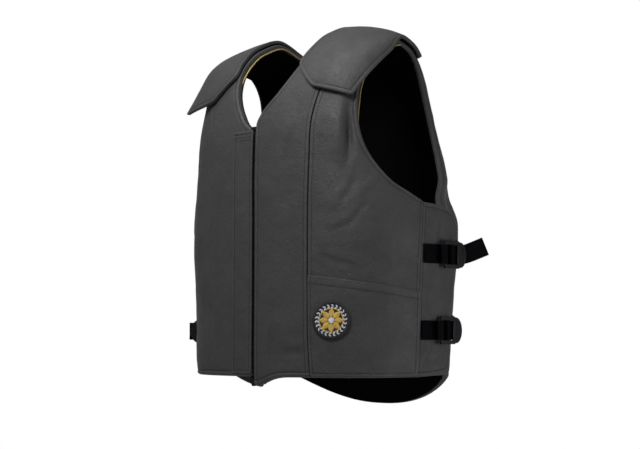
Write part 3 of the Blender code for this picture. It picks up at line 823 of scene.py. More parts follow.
def add_panel(
    name, shape, thickness, material, edges, counts, steps=FINE, corners=(0, 0, 0, 0), keep=None,
    mirror=False, joined=None, creases=(), waves=(0.0011, 0.00035), seed=1, slanted=True,
):
    """A soft-edged wall over shape(across, up), which gives turns, levels and outs.

    Edges are left, right, bottom and top; an edge with two finishes lists (up to, finish).
    Corner radii run from the lower left anticlockwise. A row of the grid runs through keep, a
    share up the right edge. Below joined, the right edge is the centre line, where the piece
    meets its own mirror image. Waves are the heights of its broad and its small unevenness.
    """
    across, up, left, bottom, size = lay_out(shape, counts, steps, corners, keep, slanted)
    base, normal = surface(shape, across, up)
    lines = edge_lines(base, up, edges)
    drop, lip, relief, wear, calm, sewing = finish_edges(base, lines, thickness)
    relief += waves[0] * ripple(base, 22.0, seed) * calm
    relief += waves[1] * ripple(base, 75.0, seed + 3) * calm
    folds = crease_depth(base, creases) * (0.25 + 0.75 * calm)
    relief += folds
    # Painted shade in the furrows of the folds, and a little painted highlight on their ridges.
    wear += np.clip(110 * folds, -0.60, 0.12)
    outer = base + normal * (relief - drop)[..., None]
    inner = base + normal * (np.minimum(lip, thickness * 0.4) - thickness)[..., None]

    rows, columns = base.shape[:2]
    count = rows * columns
    open_ids = set()
    if joined is not None:
        ends = np.flatnonzero(up[:, -1] <= joined + 1e-9)
        outer[ends, -1, 0] = 0.0
        inner[ends, -1, 0] = 0.0
        open_ids = {r * columns + columns - 1 for r in ends}
    faces = grid_faces(rows, columns, 0, False) + grid_faces(rows, columns, count, True)
    faces += rim_faces(rows, columns, open_ids)
    points = np.concatenate([outer.reshape(-1, 3), inner.reshape(-1, 3)])
    uvs = np.tile(np.stack([left, bottom], axis=-1).reshape(-1, 2), (2, 1))
    wear = np.concatenate([wear.reshape(-1), np.zeros(count)])
    spots, pairs = sewn_lines(outer + normal * THREAD_OUT, sewing)
    if mirror or joined is not None:
        turned = [face[::-1] for face in faces]
        if mirror:
            points, faces = points * (-1, 1, 1), turned
            spots = [spot * (-1, 1, 1) for spot in spots]
        else:
            faces += [tuple(a + 2 * count for a in face) for face in turned]
            points = np.concatenate([points, points * (-1, 1, 1)])
            uvs, wear = np.tile(uvs, (2, 1)), np.tile(wear, 2)
            pairs += [(a + len(spots), b + len(spots)) for a, b in pairs]
            spots += [spot * (-1, 1, 1) for spot in spots]
    mesh = mesh_of(name, points, faces, uvs, wear)
    if joined is not None:
        weld(mesh, lambda vert: abs(vert.co.x) < 1e-7)
    if pairs:
        stitch_lines.append((name, spots, pairs))
    quads = np.cross(outer[1:, 1:] - outer[:-1, :-1], outer[1:, :-1] - outer[:-1, 1:])
    halves = 1 if joined is None else 2
    area = halves * float(np.linalg.norm(quads, axis=-1).sum() / 2)
    return Panel(new_object(name, mesh, material), area, (halves * size[0], size[1]))


def dress(piece, slot, *nodes):
    """The piece rides with the vest and stands for its nodes, which it hides; the slot is not used.
    """
    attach(piece, "root")
    if nodes:
        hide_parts(*nodes)
    return piece


def side_name(side):
    return "left" if side > 0 else "right"


# Shapes of the pieces, from shares across and up to turns, levels and outs

def hem_corner(turn, level, side):
    """The left front drops towards its corner at the centre of the hem."""
    if side < 0:
        return level
    distance = outline(turn, 0.0 * turn)[..., 0]
    drop = CORNER_DROP * np.exp(-((distance / CORNER_SPAN) ** 2))
    return level - drop * np.clip(1 - level / HEM_BLEND, 0, 1)


def arm_edge(level):
    """The turn at which a front ends, at the side seam or at the armhole."""
    below, above = through(SIDE_SEAM, level)[0], through(ARMHOLE, level)[0]
    return np.where(level < ARM_CORNER, below, above)


def neck_edge(level, side, least):
    """The distance from the centre at which a front starts, at least a given one."""
    return np.maximum(through(NECK, level)[0 if side > 0 else 1], least)


def front_centre_shape(side, across, up):
    level = up * TOP + 0 * across
    inner = neck_edge(level, side, LEFT_EDGE if side > 0 else RIGHT_EDGE)
    seam = through(LONG_SEAM, level)[0] - SEAM_HALF[side]
    turn = turn_of(inner + (seam - inner) * across, level)
    return turn, hem_corner(turn, level, side), 0.0


def front_side_shape(side, across, up):
    level = up * TOP + 0 * across
    seam = turn_of(through(LONG_SEAM, level)[0] + SEAM_HALF[side], level)
    turn = seam + (arm_edge(level) - seam) * across
    return turn, hem_corner(turn, level, side), 0.0


def front_lining_shape(side, across, up):
    level = 0.0012 + up * (TOP - 0.0024) + 0 * across
    inner = turn_of(neck_edge(level, side, 0.0044) + 0.0006, level)
    turn = inner + (arm_edge(level) - 0.4 - inner) * across
    return turn, hem_corner(turn, level, side), -LINING_DEPTH


def side_panel_shape(across, up):
    seam = through(SIDE_SEAM, 0.2250 * up)[0] - 0.10
    turn = seam + (SIDE_REAR - seam) * across
    hem = SIDE_HEM_RISE * np.clip(across, 0, 1) ** 1.3
    return turn, hem + up * (through(WING_TOP, turn)[0] - hem), 0.0


def tail_level(turn, level):
    share = np.clip(np.abs(180.0 - turn) / TAIL_SPAN, 0, 1)
    drop = TAIL_DROP * np.clip(np.cos(np.radians(90 * share)), 0, 1) ** 1.15
    return level - drop * np.clip(1 - level / HEM_BLEND, 0, 1)


def tuck(turn, level):
    """How far the back lies inside the surface where the side panels lap over it."""
    around = np.clip((TUCK_TURN - turn) / 18.0, 0, 1)
    share = around * np.clip((TUCK_LEVEL - level) / 0.030, 0, 1)
    return (SIDE_PAD + 2 * CLEAR) * share * share * (3 - 2 * share)


def fall_away(turn, level):
    """How far the back turns in behind the armhole, so that its edge there shows as a thin line."""
    around = ease(turn, 101.0, 124.0) * (1 - ease(turn, 132.0, 166.0))
    return FALL_AWAY * around * ease(level, 0.202, 0.246) * (1 - ease(level, 0.325, 0.425))


def back_neck(level):
    """Half the width of the neck opening of the back, as a smooth bowl."""
    down = np.clip((NECK_TOP - level) / (NECK_TOP - NECK_BOTTOM), 0, 1)
    return NECK_HALF * np.maximum(1 - down**NECK_POWER, 0) ** (1 / NECK_POWER)


def back_shape(first, last, across, up, depth=0.0, inset=0.0):
    """Part of one half of the back, by shares of the way from the centre to the armhole."""
    way = first + (last - first) * across
    inner_level, outer_level, arm = through(BACK_ROWS, BACK_ROWS[-1][0] * (up + 0 * across))
    level = inner_level + (outer_level - inner_level) * way
    edge = back_neck(inner_level) + inset
    edge = np.where(inner_level <= NECK_BOTTOM + 1e-9, 0.0, edge)
    near = turn_of(edge + (BLADE - edge) * np.minimum(way / 0.5, 1), level, back=True)
    turn = near + (arm - near) * np.clip((way - 0.5) / 0.5, 0, 1)
    level = tail_level(turn, level)
    return turn, level, -depth - tuck(turn, level) - fall_away(turn, level)


def neck_start():
    """The share of the way up the back at which its neck opening starts."""
    ups = np.linspace(0, 1, 4001)
    return float(np.interp(NECK_BOTTOM, through(BACK_ROWS, BACK_ROWS[-1][0] * ups)[0], ups))


def flap_shape(side, across, up):
    """Across from the neck edge to the arm edge, and up from the front to the sewn edge."""
    ridge, last = FLAP_BACK[0][0], FLAP_BACK[-1][0]
    number = last * up + 0 * across
    rows = np.where(number <= ridge, through(FLAP_FRONT, number), through(FLAP_BACK, number))
    turn = rows[0] + (rows[2] - rows[0]) * across
    level = rows[1] + (rows[3] - rows[1]) * across
    lift = FLAP_LIFT[side] * (1 - up) ** 2 * across**1.5
    rest = np.interp(number, (ridge - 1, last), (FLAP_OUT, FLAP_SEWN_OUT))
    return turn, level, FLAP + rest + lift


def pocket_shape(across, up):
    top = POCKET_TOP[0] + (POCKET_TOP[1] - POCKET_TOP[0]) * across
    level = POCKET_FOOT + (top - POCKET_FOOT) * up
    seam = turn_of(through(LONG_SEAM, level)[0], level) + 0.7
    turn = seam + (arm_edge(level) - 0.6 - seam) * across
    return turn, level, CLEAR + POCKET


def centre_shape(left, right, bottom, top, out, across, up):
    """A strip along the opening between two distances from the centre."""
    level = bottom + (top - bottom) * up + 0 * across
    return turn_of(left + (right - left) * across, level), level, out


def guard_shape(across, up):
    """The guard behind the zip, whose lower end hangs below the hem in a slanting lip."""
    bottom = GUARD_FOOT + GUARD_SLANT * (1 - across) ** 1.5
    level = bottom + (OPENING_TOP - 0.006 - bottom) * up
    depth = LINING_DEPTH + LINING + TAPE + 3 * CLEAR
    return turn_of(GUARD_FROM + GUARD_WIDTH * across, level), level, -depth


# Folds and creases pressed into the leather by use, on the wearer's left and right
CENTRE_FOLDS = {
    1: [
        Crease(12.0, 0.300, 72, 0.034, 0.0052, 0.0, 0.0013),
        Crease(20.0, 0.033, 6, 0.022, 0.0046, 3.0, 0.0019),
        Crease(5.0, 0.045, 84, 0.034, 0.0032, 0.0, 0.0011),
    ],
    -1: [
        Crease(20.0, 0.040, 110, 0.016, 0.0030, 14.0, 0.0007),
        Crease(26.0, 0.310, 80, 0.030, 0.0050, 0.0, 0.0006),
        Crease(14.0, 0.200, 95, 0.040, 0.0050, 0.0, 0.0004),
    ],
}
FLANK_FOLDS = {
    1: [
        Crease(48.3, 0.312, 84, 0.034, 0.0068, 0.0, 0.0072),
        Crease(44.0, 0.235, 60, 0.024, 0.0042, 4.0, 0.0015),
        Crease(49.0, 0.210, 48, 0.022, 0.0038, -5.0, 0.0013),
        Crease(39.0, 0.190, 24, 0.018, 0.0034, 5.0, 0.0012),
        Crease(56.0, 0.232, 40, 0.024, 0.0042, 6.0, 0.0012),
        Crease(62.0, 0.190, 68, 0.026, 0.0040, 0.0, 0.0006),
        Crease(38.0, 0.145, -14, 0.022, 0.0032, 3.0, 0.0013),
        Crease(70.0, 0.150, 85, 0.030, 0.0045, 0.0, 0.0005),
    ],
    -1: [
        Crease(50.0, 0.325, 88, 0.036, 0.0050, 0.0, 0.0014),
        Crease(50.0, 0.200, 60, 0.026, 0.0040, 4.0, 0.0007),
        Crease(64.0, 0.130, 75, 0.032, 0.0045, -3.0, 0.0006),
    ],
}
SIDE_FOLDS = [
    Crease(92.5, 0.187, 72, 0.020, 0.0034, -4.0, 0.0016),
    Crease(90.0, 0.030, 62, 0.017, 0.0030, 8.0, 0.0021),
    Crease(95.0, 0.022, 35, 0.013, 0.0028, 0.0, 0.0014),
    Crease(103.0, 0.110, 85, 0.030, 0.0035, 0.0, 0.0006),
]
BACK_FOLDS = [
    Crease(160.0, 0.160, 172, 0.050, 0.0060, 2.0, 0.0007),
    Crease(170.0, 0.085, 178, 0.060, 0.0060, 1.0, 0.0006),
    Crease(166.0, 0.330, 70, 0.040, 0.0060, 1.0, 0.0005),
]
BACK_SIDE_FOLDS = [
    Crease(128.0, 0.290, 70, 0.040, 0.0050, 2.0, 0.0008),
    Crease(138.0, 0.120, 95, 0.040, 0.0050, 0.0, 0.0006),
]


# How the thin linings, the tape and the zip's hard ends are made
PLAIN = {"edges": ("plain",) * 4, "steps": COARSE, "waves": (0.0, 0.0)}


def add_padded(node, shape, thickness, fill, side=1, **options):
    """A padded piece of leather, turned over for the wearer's right."""
    panel = add_panel(f"leather_{node}", shape, thickness, LEATHER, mirror=side < 0, **options)
    dress(panel.piece, "leather", node)
    return panel.piece


def add_lining(node, shape, rests_on, **options):
    panel = add_panel(f"mesh_{node}", shape, LINING, LINING_MESH, **{**PLAIN, **options})
    dress(panel.piece, "lining", node)


def add_front(side):
    name = side_name(side)
    seam = "sewn" if side > 0 else "quiet"
    shape = partial(front_centre_shape, side)
    centre = add_padded(
        f"front_centre_{name}", shape, PAD, 0.7, side, edges=("soft", seam, "free", "plain"),
        counts=(20, 128), corners=(0.007, 0, 0, 0), creases=CENTRE_FOLDS[side], seed=2 + side,
    )
    edges = (seam, [(ARM_CORNER / TOP, "sewn"), (1.0, "free")], "free", "plain")
    flank = add_padded(
        f"front_side_{name}", partial(front_side_shape, side), PAD, 0.7, side, edges=edges,
        counts=(34, 128), keep=ARM_CORNER / TOP, creases=FLANK_FOLDS[side], seed=6 + side,
    )
    shape = partial(front_lining_shape, side)
    add_lining(f"front_lining_{name}", shape, [centre, flank], counts=(40, 90), mirror=side < 0)


def add_side_panel(side):
    add_padded(
        f"side_panel_{side_name(side)}", side_panel_shape, SIDE_PAD, 0.6, side,
        edges=("sewn", "soft", "soft", "soft"), counts=(16, 60), corners=(0, 0.012, 0.020, 0),
        creases=SIDE_FOLDS, seed=10 + side,
    )


def add_flap(side):
    add_padded(
        f"shoulder_flap_{side_name(side)}", partial(flap_shape, side), FLAP, 0.4, side,
        edges=("flap",) * 4, counts=(30, 44), corners=(0.003, 0.005, 0.003, 0.003),
        waves=(0.0008, 0.0002), seed=14 + side, slanted=False,
    )


def add_back():
    start = neck_start()
    shape = partial(back_shape, 0.5 - BACK_SEAM_HALF / BLADE / 2, 0.0)
    centre = add_padded(
        "back_centre", shape, PAD, 0.7, counts=(34, 130), keep=start, joined=start,
        edges=("sewn", [(start, "joined"), (1.0, "soft")], "free", "plain"),
        creases=BACK_FOLDS, seed=21,
    )
    shape = partial(back_shape, 1.0, 0.5 + BACK_SEAM_HALF / 0.13)
    sides = [
        add_padded(
            f"back_side_{side_name(side)}", shape, PAD, 0.7, side, counts=(26, 130),
            edges=("pinched", "sewn", "free", "plain"), creases=BACK_SIDE_FOLDS, seed=24 + side,
        )
        for side in (1, -1)
    ]
    shape = partial(back_shape, 0.993, 0.0, depth=LINING_DEPTH, inset=0.0008)
    add_lining(
        "back_lining", shape, [centre, *sides], counts=(50, 100), keep=start, joined=start,
        edges=("plain", [(start, "joined"), (1.0, "plain")], "plain", "plain"),
    )


def add_laid(name, node, shape, thickness, material, slot, rests_on, **options):
    panel = add_panel(name, shape, thickness, material, **options)
    dress(panel.piece, slot, node)


def add_laid_pieces():
    add_laid(
        "leather_pocket", "pocket", pocket_shape, POCKET, LEATHER, "leather",
        ["leather_front_side_left"], edges=("thin", "thin", "thin", "band"), counts=(30, 40),
        corners=(0.002,) * 4, seed=31,
    )
    shape = partial(centre_shape, -STRIP_FROM, -STRIP_TO, 0.004, OPENING_TOP + 0.001, CLEAR + STRIP)
    add_laid(
        "leather_placket_strip", "placket_strip", shape, STRIP, LEATHER, "leather",
        ["leather_front_centre_right"], edges=("raised", "thin", "thin", "thin"), counts=(14, 90),
        corners=(0.003, 0.003, 0.002, 0.002), seed=34,
    )
    across = turn_of(np.linspace(-STRIP_FROM + 0.004, -STRIP_TO - 0.004, 14), OPENING_TOP)
    rows = [place(across, OPENING_TOP - row, CLEAR + STRIP + 0.0001) for row in STRIP_ROWS]
    stitch_lines.append(("placket_top", *line_pairs(rows)))
    behind = LINING_DEPTH + LINING + CLEAR
    add_laid(
        "woven_zip_tape", "zip_tape",
        partial(centre_shape, -TAPE_HALF, TAPE_HALF, TAPE_FOOT, OPENING_TOP, -behind),
        TAPE, LINING_MESH, "lining", ["mesh_front_lining_left", "mesh_front_lining_right"],
        counts=(10, 70), **PLAIN,
    )
    add_laid(
        "leather_zip_guard", "zip_guard", guard_shape, GUARD, LEATHER, "leather",
        ["woven_zip_tape"], edges=("thin",) * 4, counts=(16, 80),
        corners=(0.006, 0.005, 0.004, 0.004), seed=37,
    )


# Threads and stitches, grown over lines of points

def growing_tree(name, labels):
    """A new node tree over lines of points, with its number inputs."""
    tree = bpy.data.node_groups.new(name, "GeometryNodeTree")
    tree.interface.new_socket("Geometry", in_out="INPUT", socket_type="NodeSocketGeometry")
    for label in labels:
        tree.interface.new_socket(label, in_out="INPUT", socket_type="NodeSocketFloat")
    tree.interface.new_socket("Geometry", in_out="OUTPUT", socket_type="NodeSocketGeometry")
    source = tree.nodes.new("NodeGroupInput").outputs
    curve = add_node(tree, "GeometryNodeMeshToCurve", {"Mesh": source["Geometry"]})
    return tree, source, curve.outputs["Curve"]


def finish_tree(tree, geometry, material):
    for kind in ("GeometryNodeRealizeInstances", "GeometryNodeSetShadeSmooth"):
        geometry = add_node(tree, kind, {"Geometry": geometry}).outputs["Geometry"]
    values = {"Geometry": geometry, "Material": material}
    painted = add_node(tree, "GeometryNodeSetMaterial", values)
    add_node(tree, "NodeGroupOutput", {"Geometry": painted.outputs["Geometry"]})
    return tree


def stitch_tree(name, material):
    """Beads of thread set along lines at an even pitch."""
    tree, source, curve = growing_tree(name, ("Pitch", "Length", "Thickness"))
    values = {"Curve": curve, "Length": source["Pitch"]}
    run = add_node(tree, "GeometryNodeResampleCurve", values, mode="LENGTH")
    values = {"Segments": 6, "Rings": 5, "Radius": 0.5}
    bead = add_node(tree, "GeometryNodeMeshUVSphere", values)
    tangent = tree.nodes.new("GeometryNodeInputTangent").outputs[0]
    turned = add_node(tree, "FunctionNodeAlignRotationToVector", {"Vector": tangent}, axis="Z")
    vary = add_node(tree, "FunctionNodeRandomValue", {"Seed": 5, 2: 0.88, 3: 1.08})
    length = maths(tree, "MULTIPLY", source["Length"], vary.outputs[1])
    values = {"X": source["Thickness"], "Y": source["Thickness"], "Z": length}
    size = add_node(tree, "ShaderNodeCombineXYZ", values)
    values = {
        "Points": run.outputs["Curve"],
        "Instance": bead.outputs["Mesh"],
        "Rotation": turned.outputs["Rotation"],
        "Scale": size.outputs["Vector"],
    }
    beads = add_node(tree, "GeometryNodeInstanceOnPoints", values)
    return finish_tree(tree, beads.outputs["Instances"], material)


def cord_tree(name, material):
    """A round cord along each line."""
    tree, source, curve = growing_tree(name, ("Radius",))
    values = {"Resolution": 8, "Radius": source["Radius"]}
    ring = add_node(tree, "GeometryNodeCurvePrimitiveCircle", values)
    values = {"Curve": curve, "Profile Curve": ring.outputs["Curve"], "Fill Caps": True}
    cord = add_node(tree, "GeometryNodeCurveToMesh", values)
    return finish_tree(tree, cord.outputs["Mesh"], material)


def grow(name, tree, spots, pairs, **values):
    """Runs a tree over lines and keeps what it makes as a plain mesh."""
    lines = bpy.data.meshes.new(name)
    lines.from_pydata([tuple(spot) for spot in spots], pairs, [])
    made = new_object(name, lines)
    modifier = made.modifiers.new("grow", "NODES")
    modifier.node_group = tree
    for item in tree.interface.items_tree:
        if item.in_out == "INPUT" and item.name in values:
            modifier[item.identifier] = values[item.name]
    view = bpy.context.evaluated_depsgraph_get()
    mesh = bpy.data.meshes.new_from_object(made.evaluated_get(view))
    made.modifiers.remove(modifier)
    made.data = mesh
    return made


def line_pairs(lines):
    """Lines of points as one list of spots with the pairs that join them."""
    spots, pairs = [], []
    for line in lines:
        pairs += [(len(spots) + k, len(spots) + k + 1) for k in range(len(line) - 1)]
        spots += [np.asarray(point, float) for point in line]
    return spots, pairs


SEAM_STITCHES = stitch_tree("seam stitches", SEAM_THREAD)
PIPING_CORD = cord_tree("piping cord", GOLD)
WHITE_CORD = cord_tree("white cord", WHITE_THREAD)
GOLD_CORD = cord_tree("gold cord", GOLD_THREAD)
DARK_CORD = cord_tree("dark cord", SEAM_THREAD)
ZIP_TEETH = stitch_tree("zip teeth", ZIP_METAL)


def add_stitches():
    sizes = {"Pitch": 0.0032, "Length": 0.0025, "Thickness": 0.00056}
    for name, spots, pairs in stitch_lines:
        dress(grow(f"stitches_{name}", SEAM_STITCHES, spots, pairs, **sizes), "leather")


def add_zip():
    """Teeth in the gap between the fronts, the pin below them and the stop above."""
    levels = np.linspace(-0.006, OPENING_TOP - 0.002, 130)
    behind = LINING_DEPTH + LINING - 0.0004
    rows = [place(turn_of(0 * levels + across, levels), levels, -behind) for across in TEETH_ROWS]
    sizes = {"Pitch": 0.0022, "Length": 0.0014, "Thickness": 0.0020}
    dress(grow("zip_teeth", ZIP_TEETH, *line_pairs(rows), **sizes), "zip_metal")
    pin = add_panel(
        "metal_zip_pin", partial(centre_shape, *PIN_BOX), LINING_DEPTH + LINING - 0.0058,
        ZIP_METAL, counts=(6, 8), corners=(0.0025, 0.0025, 0.001, 0.001), **PLAIN,
    )
    dress(pin.piece, "zip_metal", "zip_pin")
    stop = add_panel(
        "plastic_zip_stop", partial(centre_shape, *STOP_BOX), STOP, PLASTIC, counts=(6, 6),
        corners=(0.001,) * 4, **PLAIN,
    )
    dress(stop.piece, "buckle_plastic")


def edge_cord(shape, share, ups, gap, side, depth=PAD):
    """A line just outside the edge of a panel, against the lining side of its wall."""
    line, normal = surface(shape, np.full(len(ups), share), ups)
    inside = surface(shape, np.full(len(ups), abs(share - 0.06)), ups)[0]
    beyond = unit(np.cross(np.gradient(line, axis=0), normal))
    beyond *= np.sign(np.sum(beyond * (line - inside), axis=-1, keepdims=True))
    return (line + beyond * (gap + 0 * ups)[:, None] - normal * (depth - 0.0013)) * (side, 1, 1)


def add_cord(place_name, line):
    made = grow(f"cord_{place_name}", PIPING_CORD, *line_pairs([line]), Radius=PIPING_RADIUS)
    dress(made, "piping", f"piping_{place_name}")


def add_piping():
    for side in (1, -1):
        name = side_name(side)
        ups = np.linspace(0.350 / TOP, 1, 90)
        gap = NECK_CORD_OUT - (0.0040 * (1 - ease(ups, 0.81, 0.88)) if side < 0 else 0)
        add_cord(f"neck_{name}", edge_cord(partial(front_centre_shape, side), 0.0, ups, gap, side))
        ups = np.linspace(0.2355 / TOP, 1, 130)
        gap = -0.0009 + 0.0028 * ease(ups, 0.64, 0.74)
        add_cord(f"arm_{name}", edge_cord(partial(front_side_shape, side), 1.0, ups, gap, side))
        ups = np.linspace(0.52, 1, 110)
        line = edge_cord(partial(back_shape, 0.5, 1.0), 1.0, ups, -0.0012, side, 0.0080)
        add_cord(f"arm_back_{name}", line)
    ups = np.linspace(neck_start() + 0.0005, 1, 90)
    half = edge_cord(partial(back_shape, 0.0, 0.5), 0.0, ups, NECK_CORD_OUT, 1)
    add_cord("neck_back", np.concatenate([half[::-1], half[1:] * (-1, 1, 1)]))


# Webbing and buckles, given on the wearer's left and turned over for the right

Frame = namedtuple("Frame", "origin along out")
Strap = namedtuple("Strap", "name side level turn stand_off swing")
STRAPS = [
    Strap("upper", 1, UPPER_STRAP, 93.4, 0.0006, 2.0),
    Strap("lower", 1, LOWER_STRAP, 93.4, 0.0006, 2.0),
    Strap("upper", -1, UPPER_STRAP, 93.4, 0.0006, 2.0),
    Strap("lower", -1, LOWER_STRAP, 87.6, 0.0120, 108.0),
]
# The slack strap bows out from the body to its buckle: distance out, y
SLACK_BOW = [(0.180, 0.080), (0.208, 0.054), (0.228, 0.028), (0.240, -0.002), (0.246, -0.034)]
# The free tail that stands away behind the upper left buckle: along, out, rise
LONG_TAIL = [
    (0.034, WEB_TAIL, 0.000),
    (0.049, WEB_TAIL, 0.002),
    (0.056, 0.0080, 0.005),
    (0.071, 0.0205, 0.013),
]
SHORT_TAIL = [(0.030, WEB_TAIL), (0.036, WEB_TAIL + 0.0001)]
# A buckle: the inner face of its rails, where its bars start and end along it and half their
# length, the middle of the thumb tab's round end, how far the end reaches, and its ribs
RAIL = 0.0127
BARS = ((-0.0015, 0.0014), (0.0119, 0.0147))
BAR_HALF = 0.0160
TAB_FROM = 0.0335
TAB_REACH = 0.0133
TAB_RIBS = (0.0345, 0.0375, 0.0405)


def in_frame(frame, along, out, rise=0.0):
    return frame.origin + frame.along * along + frame.out * out + UP * rise


def buckle_frame(strap):
    """Where a buckle sits on the side seam and which way it points."""
    along = outline(strap.turn + 5, strap.level) - outline(strap.turn, strap.level)
    along[2] = 0.0
    swing = Matrix.Rotation(math.radians(-strap.swing), 3, "Z")
    along = np.array(swing @ Vector(unit(along)))
    return Frame(place(strap.turn, strap.level, strap.stand_off), along, np.cross(along, UP))


def loop_round(frame, near, far, tail, tail_out):
    """Webbing that comes in under a bar, turns up over it and lies back."""
    bend = math.copysign(WEB_BEND, far - near)
    spots = (
        (near, WEB_UNDER),
        (far - bend, WEB_UNDER),
        (far, WEB_UNDER + WEB_BEND),
        (far, WEB_OVER - WEB_BEND),
        (far - bend, WEB_OVER),
        (tail, tail_out),
    )
    return [in_frame(frame, *spot) for spot in spots]


def softened(path, rounds=3):
    """The path with its corners cut, keeping both ends."""
    path = np.array(path, float)
    for _ in range(rounds):
        steps = np.diff(path, axis=0)
        cut = np.minimum(0.25, 0.004 / np.maximum(np.linalg.norm(steps, axis=1), 1e-9))
        cut = cut[:, None]
        pairs = np.stack([path[:-1] + steps * cut, path[1:] - steps * cut], axis=1)
        path = np.concatenate([path[:1], pairs.reshape(-1, 3)[1:-1], path[-1:]])
    return path


def add_ribbon(name, node, path, side):
    """Flat webbing on edge along a path, with rounded selvedges."""
    path = softened(path)
    run = run_lengths(path, 0)
    fine = np.unique(np.concatenate([run, np.linspace(0, run[-1], int(run[-1] / 0.003) + 2)]))
    path = np.stack([np.interp(fine, run, path[:, k]) for k in range(3)], axis=1)
    tangent = unit(np.gradient(path, fine, axis=0))
    rise = unit(UP - tangent * (tangent @ UP)[:, None])
    out = np.cross(tangent, rise)
    flat = np.linspace(-1, 1, 11) * (WEB_WIDTH / 2 - 0.0005)
    half, edge, lip = WEB_THICK / 2, WEB_WIDTH / 2 - 0.0001, 0.0004
    section = [(u, half) for u in flat] + [(edge, lip), (edge, -lip)]
    section += [(u, -half) for u in flat[::-1]] + [(-edge, -lip), (-edge, lip)]
    count = len(section)
    points = np.stack([path + rise * u + out * v for u, v in section], axis=1).reshape(-1, 3)
    uvs = np.stack(np.meshgrid([u for u, _ in section], fine), axis=-1)
    faces = []
    for r in range(len(path) - 1):
        for c in range(count):
            a, b = r * count + c, r * count + (c + 1) % count
            faces.append((a, a + count, b + count, b))
    last = (len(path) - 1) * count
    faces += [tuple(range(count)), tuple(range(last + count - 1, last - 1, -1))]
    if side < 0:
        points, faces = points * (-1, 1, 1), [face[::-1] for face in faces]
    made = new_object(name, mesh_of(name, points, faces, uvs.reshape(-1, 2)), WEBBING)
    dress(made, "webbing", node)
    return made, float(fine[-1])


def add_block(shape, low, high, bevel):
    """A box with rounded edges between two corners."""
    made = bmesh.ops.create_cube(shape, size=1.0)["verts"]
    low, high = np.array(low), np.array(high)
    for vert in made:
        vert.co = Vector((low + high) / 2 + np.array(vert.co) * (high - low))
    edges = list(dict.fromkeys(edge for vert in made for edge in vert.link_edges))
    bmesh.ops.bevel(shape, geom=edges, offset=bevel, segments=3, profile=0.6, affect="EDGES")


def add_slab(shape, rim, low, high, bevel):
    """A flat piece with a shaped rim and rounded edges."""
    base = shape.faces.new([shape.verts.new((x, y, low)) for x, y in rim])
    made = bmesh.ops.extrude_face_region(shape, geom=[base])["geom"]
    lid = next(item for item in made if isinstance(item, bmesh.types.BMFace))
    for vert in lid.verts:
        vert.co.z = high
    edges = list(base.edges) + list(lid.edges)
    bmesh.ops.bevel(shape, geom=edges, offset=bevel, segments=3, profile=0.5, affect="EDGES")


def add_buckle(strap, frame, name):
    """A ladder lock: side rails, three bars, ears and a ribbed thumb tab."""
    shape = bmesh.new()
    half, thin = BUCKLE_HALF, 0.0012
    for sign in (1, -1):
        low, high = sorted((sign * RAIL, sign * half))
        add_block(shape, (-0.0008, low, -thin - 0.0002), (0.0300, high, thin + 0.0006), 0.0007)
    for start, end in BARS:
        add_block(shape, (start, -BAR_HALF, -thin), (end, BAR_HALF, thin), 0.0008)
    rim = [(0.0266, -half + 0.0008), (0.0266, half - 0.0008)]
    for angle in np.radians(range(4, 177, 7)):
        rim.append((TAB_FROM + TAB_REACH * math.sin(angle), (half - 0.0012) * math.cos(angle)))
    add_slab(shape, rim[::-1], -thin, thin, 0.0007)
    for along in TAB_RIBS:
        reach = (half - 0.005) * math.sqrt(max(0.05, 1 - ((along - TAB_FROM) / TAB_REACH) ** 2))
        add_block(shape, (along - 0.0006, -reach, 0.0006), (along + 0.0006, reach, 0.0017), 0.0004)
    add_block(shape, (0.0240, half - 0.0022, -0.0004), (0.0272, half + 0.0016, 0.0010), 0.0006)
    bmesh.ops.recalc_face_normals(shape, faces=shape.faces[:])
    for face in shape.faces:
        face.smooth = max(abs(axis) for axis in face.normal) < 0.9999
    centre = in_frame(frame, 0.0, BUCKLE_OUT)
    for vert in shape.verts:
        x, y, z = vert.co
        spot = centre + frame.along * x + UP * y + frame.out * z
        vert.co = Vector((strap.side * spot[0], spot[1], spot[2]))
    if strap.side < 0:
        bmesh.ops.reverse_faces(shape, faces=shape.faces[:])
    mesh = bpy.data.meshes.new(f"plastic_buckle_{name}")
    shape.to_mesh(mesh)
    shape.free()
    dress(new_object(mesh.name, mesh, PLASTIC), "buckle_plastic", f"buckle_{name}")


def add_strap(strap):
    """A buckle with the webbing that holds it in front and the webbing that runs to the back."""
    frame = buckle_frame(strap)
    name = f"{strap.name}_{side_name(strap.side)}"
    add_buckle(strap, frame, name)
    slack = strap.swing > 90
    turns = (85.4,) if slack else (85.6, 89.5)
    seam = [place(turn, strap.level, WEB_ON_SEAM) for turn in turns]
    path = seam + loop_round(frame, -0.0075, 0.0029, -0.0060 if slack else -0.0110, WEB_OVER)
    front, length = add_ribbon(f"webbing_{name}", f"strap_{name}", path, strap.side)

    path = [place(turn, strap.level, WEB_ON_BACK) for turn in (140.0, 133.0, 127.0)]
    if slack:
        path += [np.array((x, y, strap.level)) - SHOULDERS for x, y in SLACK_BOW]
    else:
        path.append(place(120.0, strap.level, WEB_ON_BACK))
        path += [place(turn, strap.level, WEB_ON_SIDE) for turn in (114.0, 110.0, 106.5)]
    path += loop_round(frame, 0.030, 0.0106, 0.0150, WEB_OVER)
    tail = LONG_TAIL if strap.name == "upper" and strap.side > 0 else SHORT_TAIL
    under = [(0.0161, 0.0070), (0.0161, 0.0044), (0.0175, WEB_TAIL)]
    path += [in_frame(frame, *spot) for spot in under + tail]
    rear, length = add_ribbon(f"webbing_back_{name}", f"strap_back_{name}", path, strap.side)


# The badge: a twill ground with a rosette, a rope ring and an overlocked rim

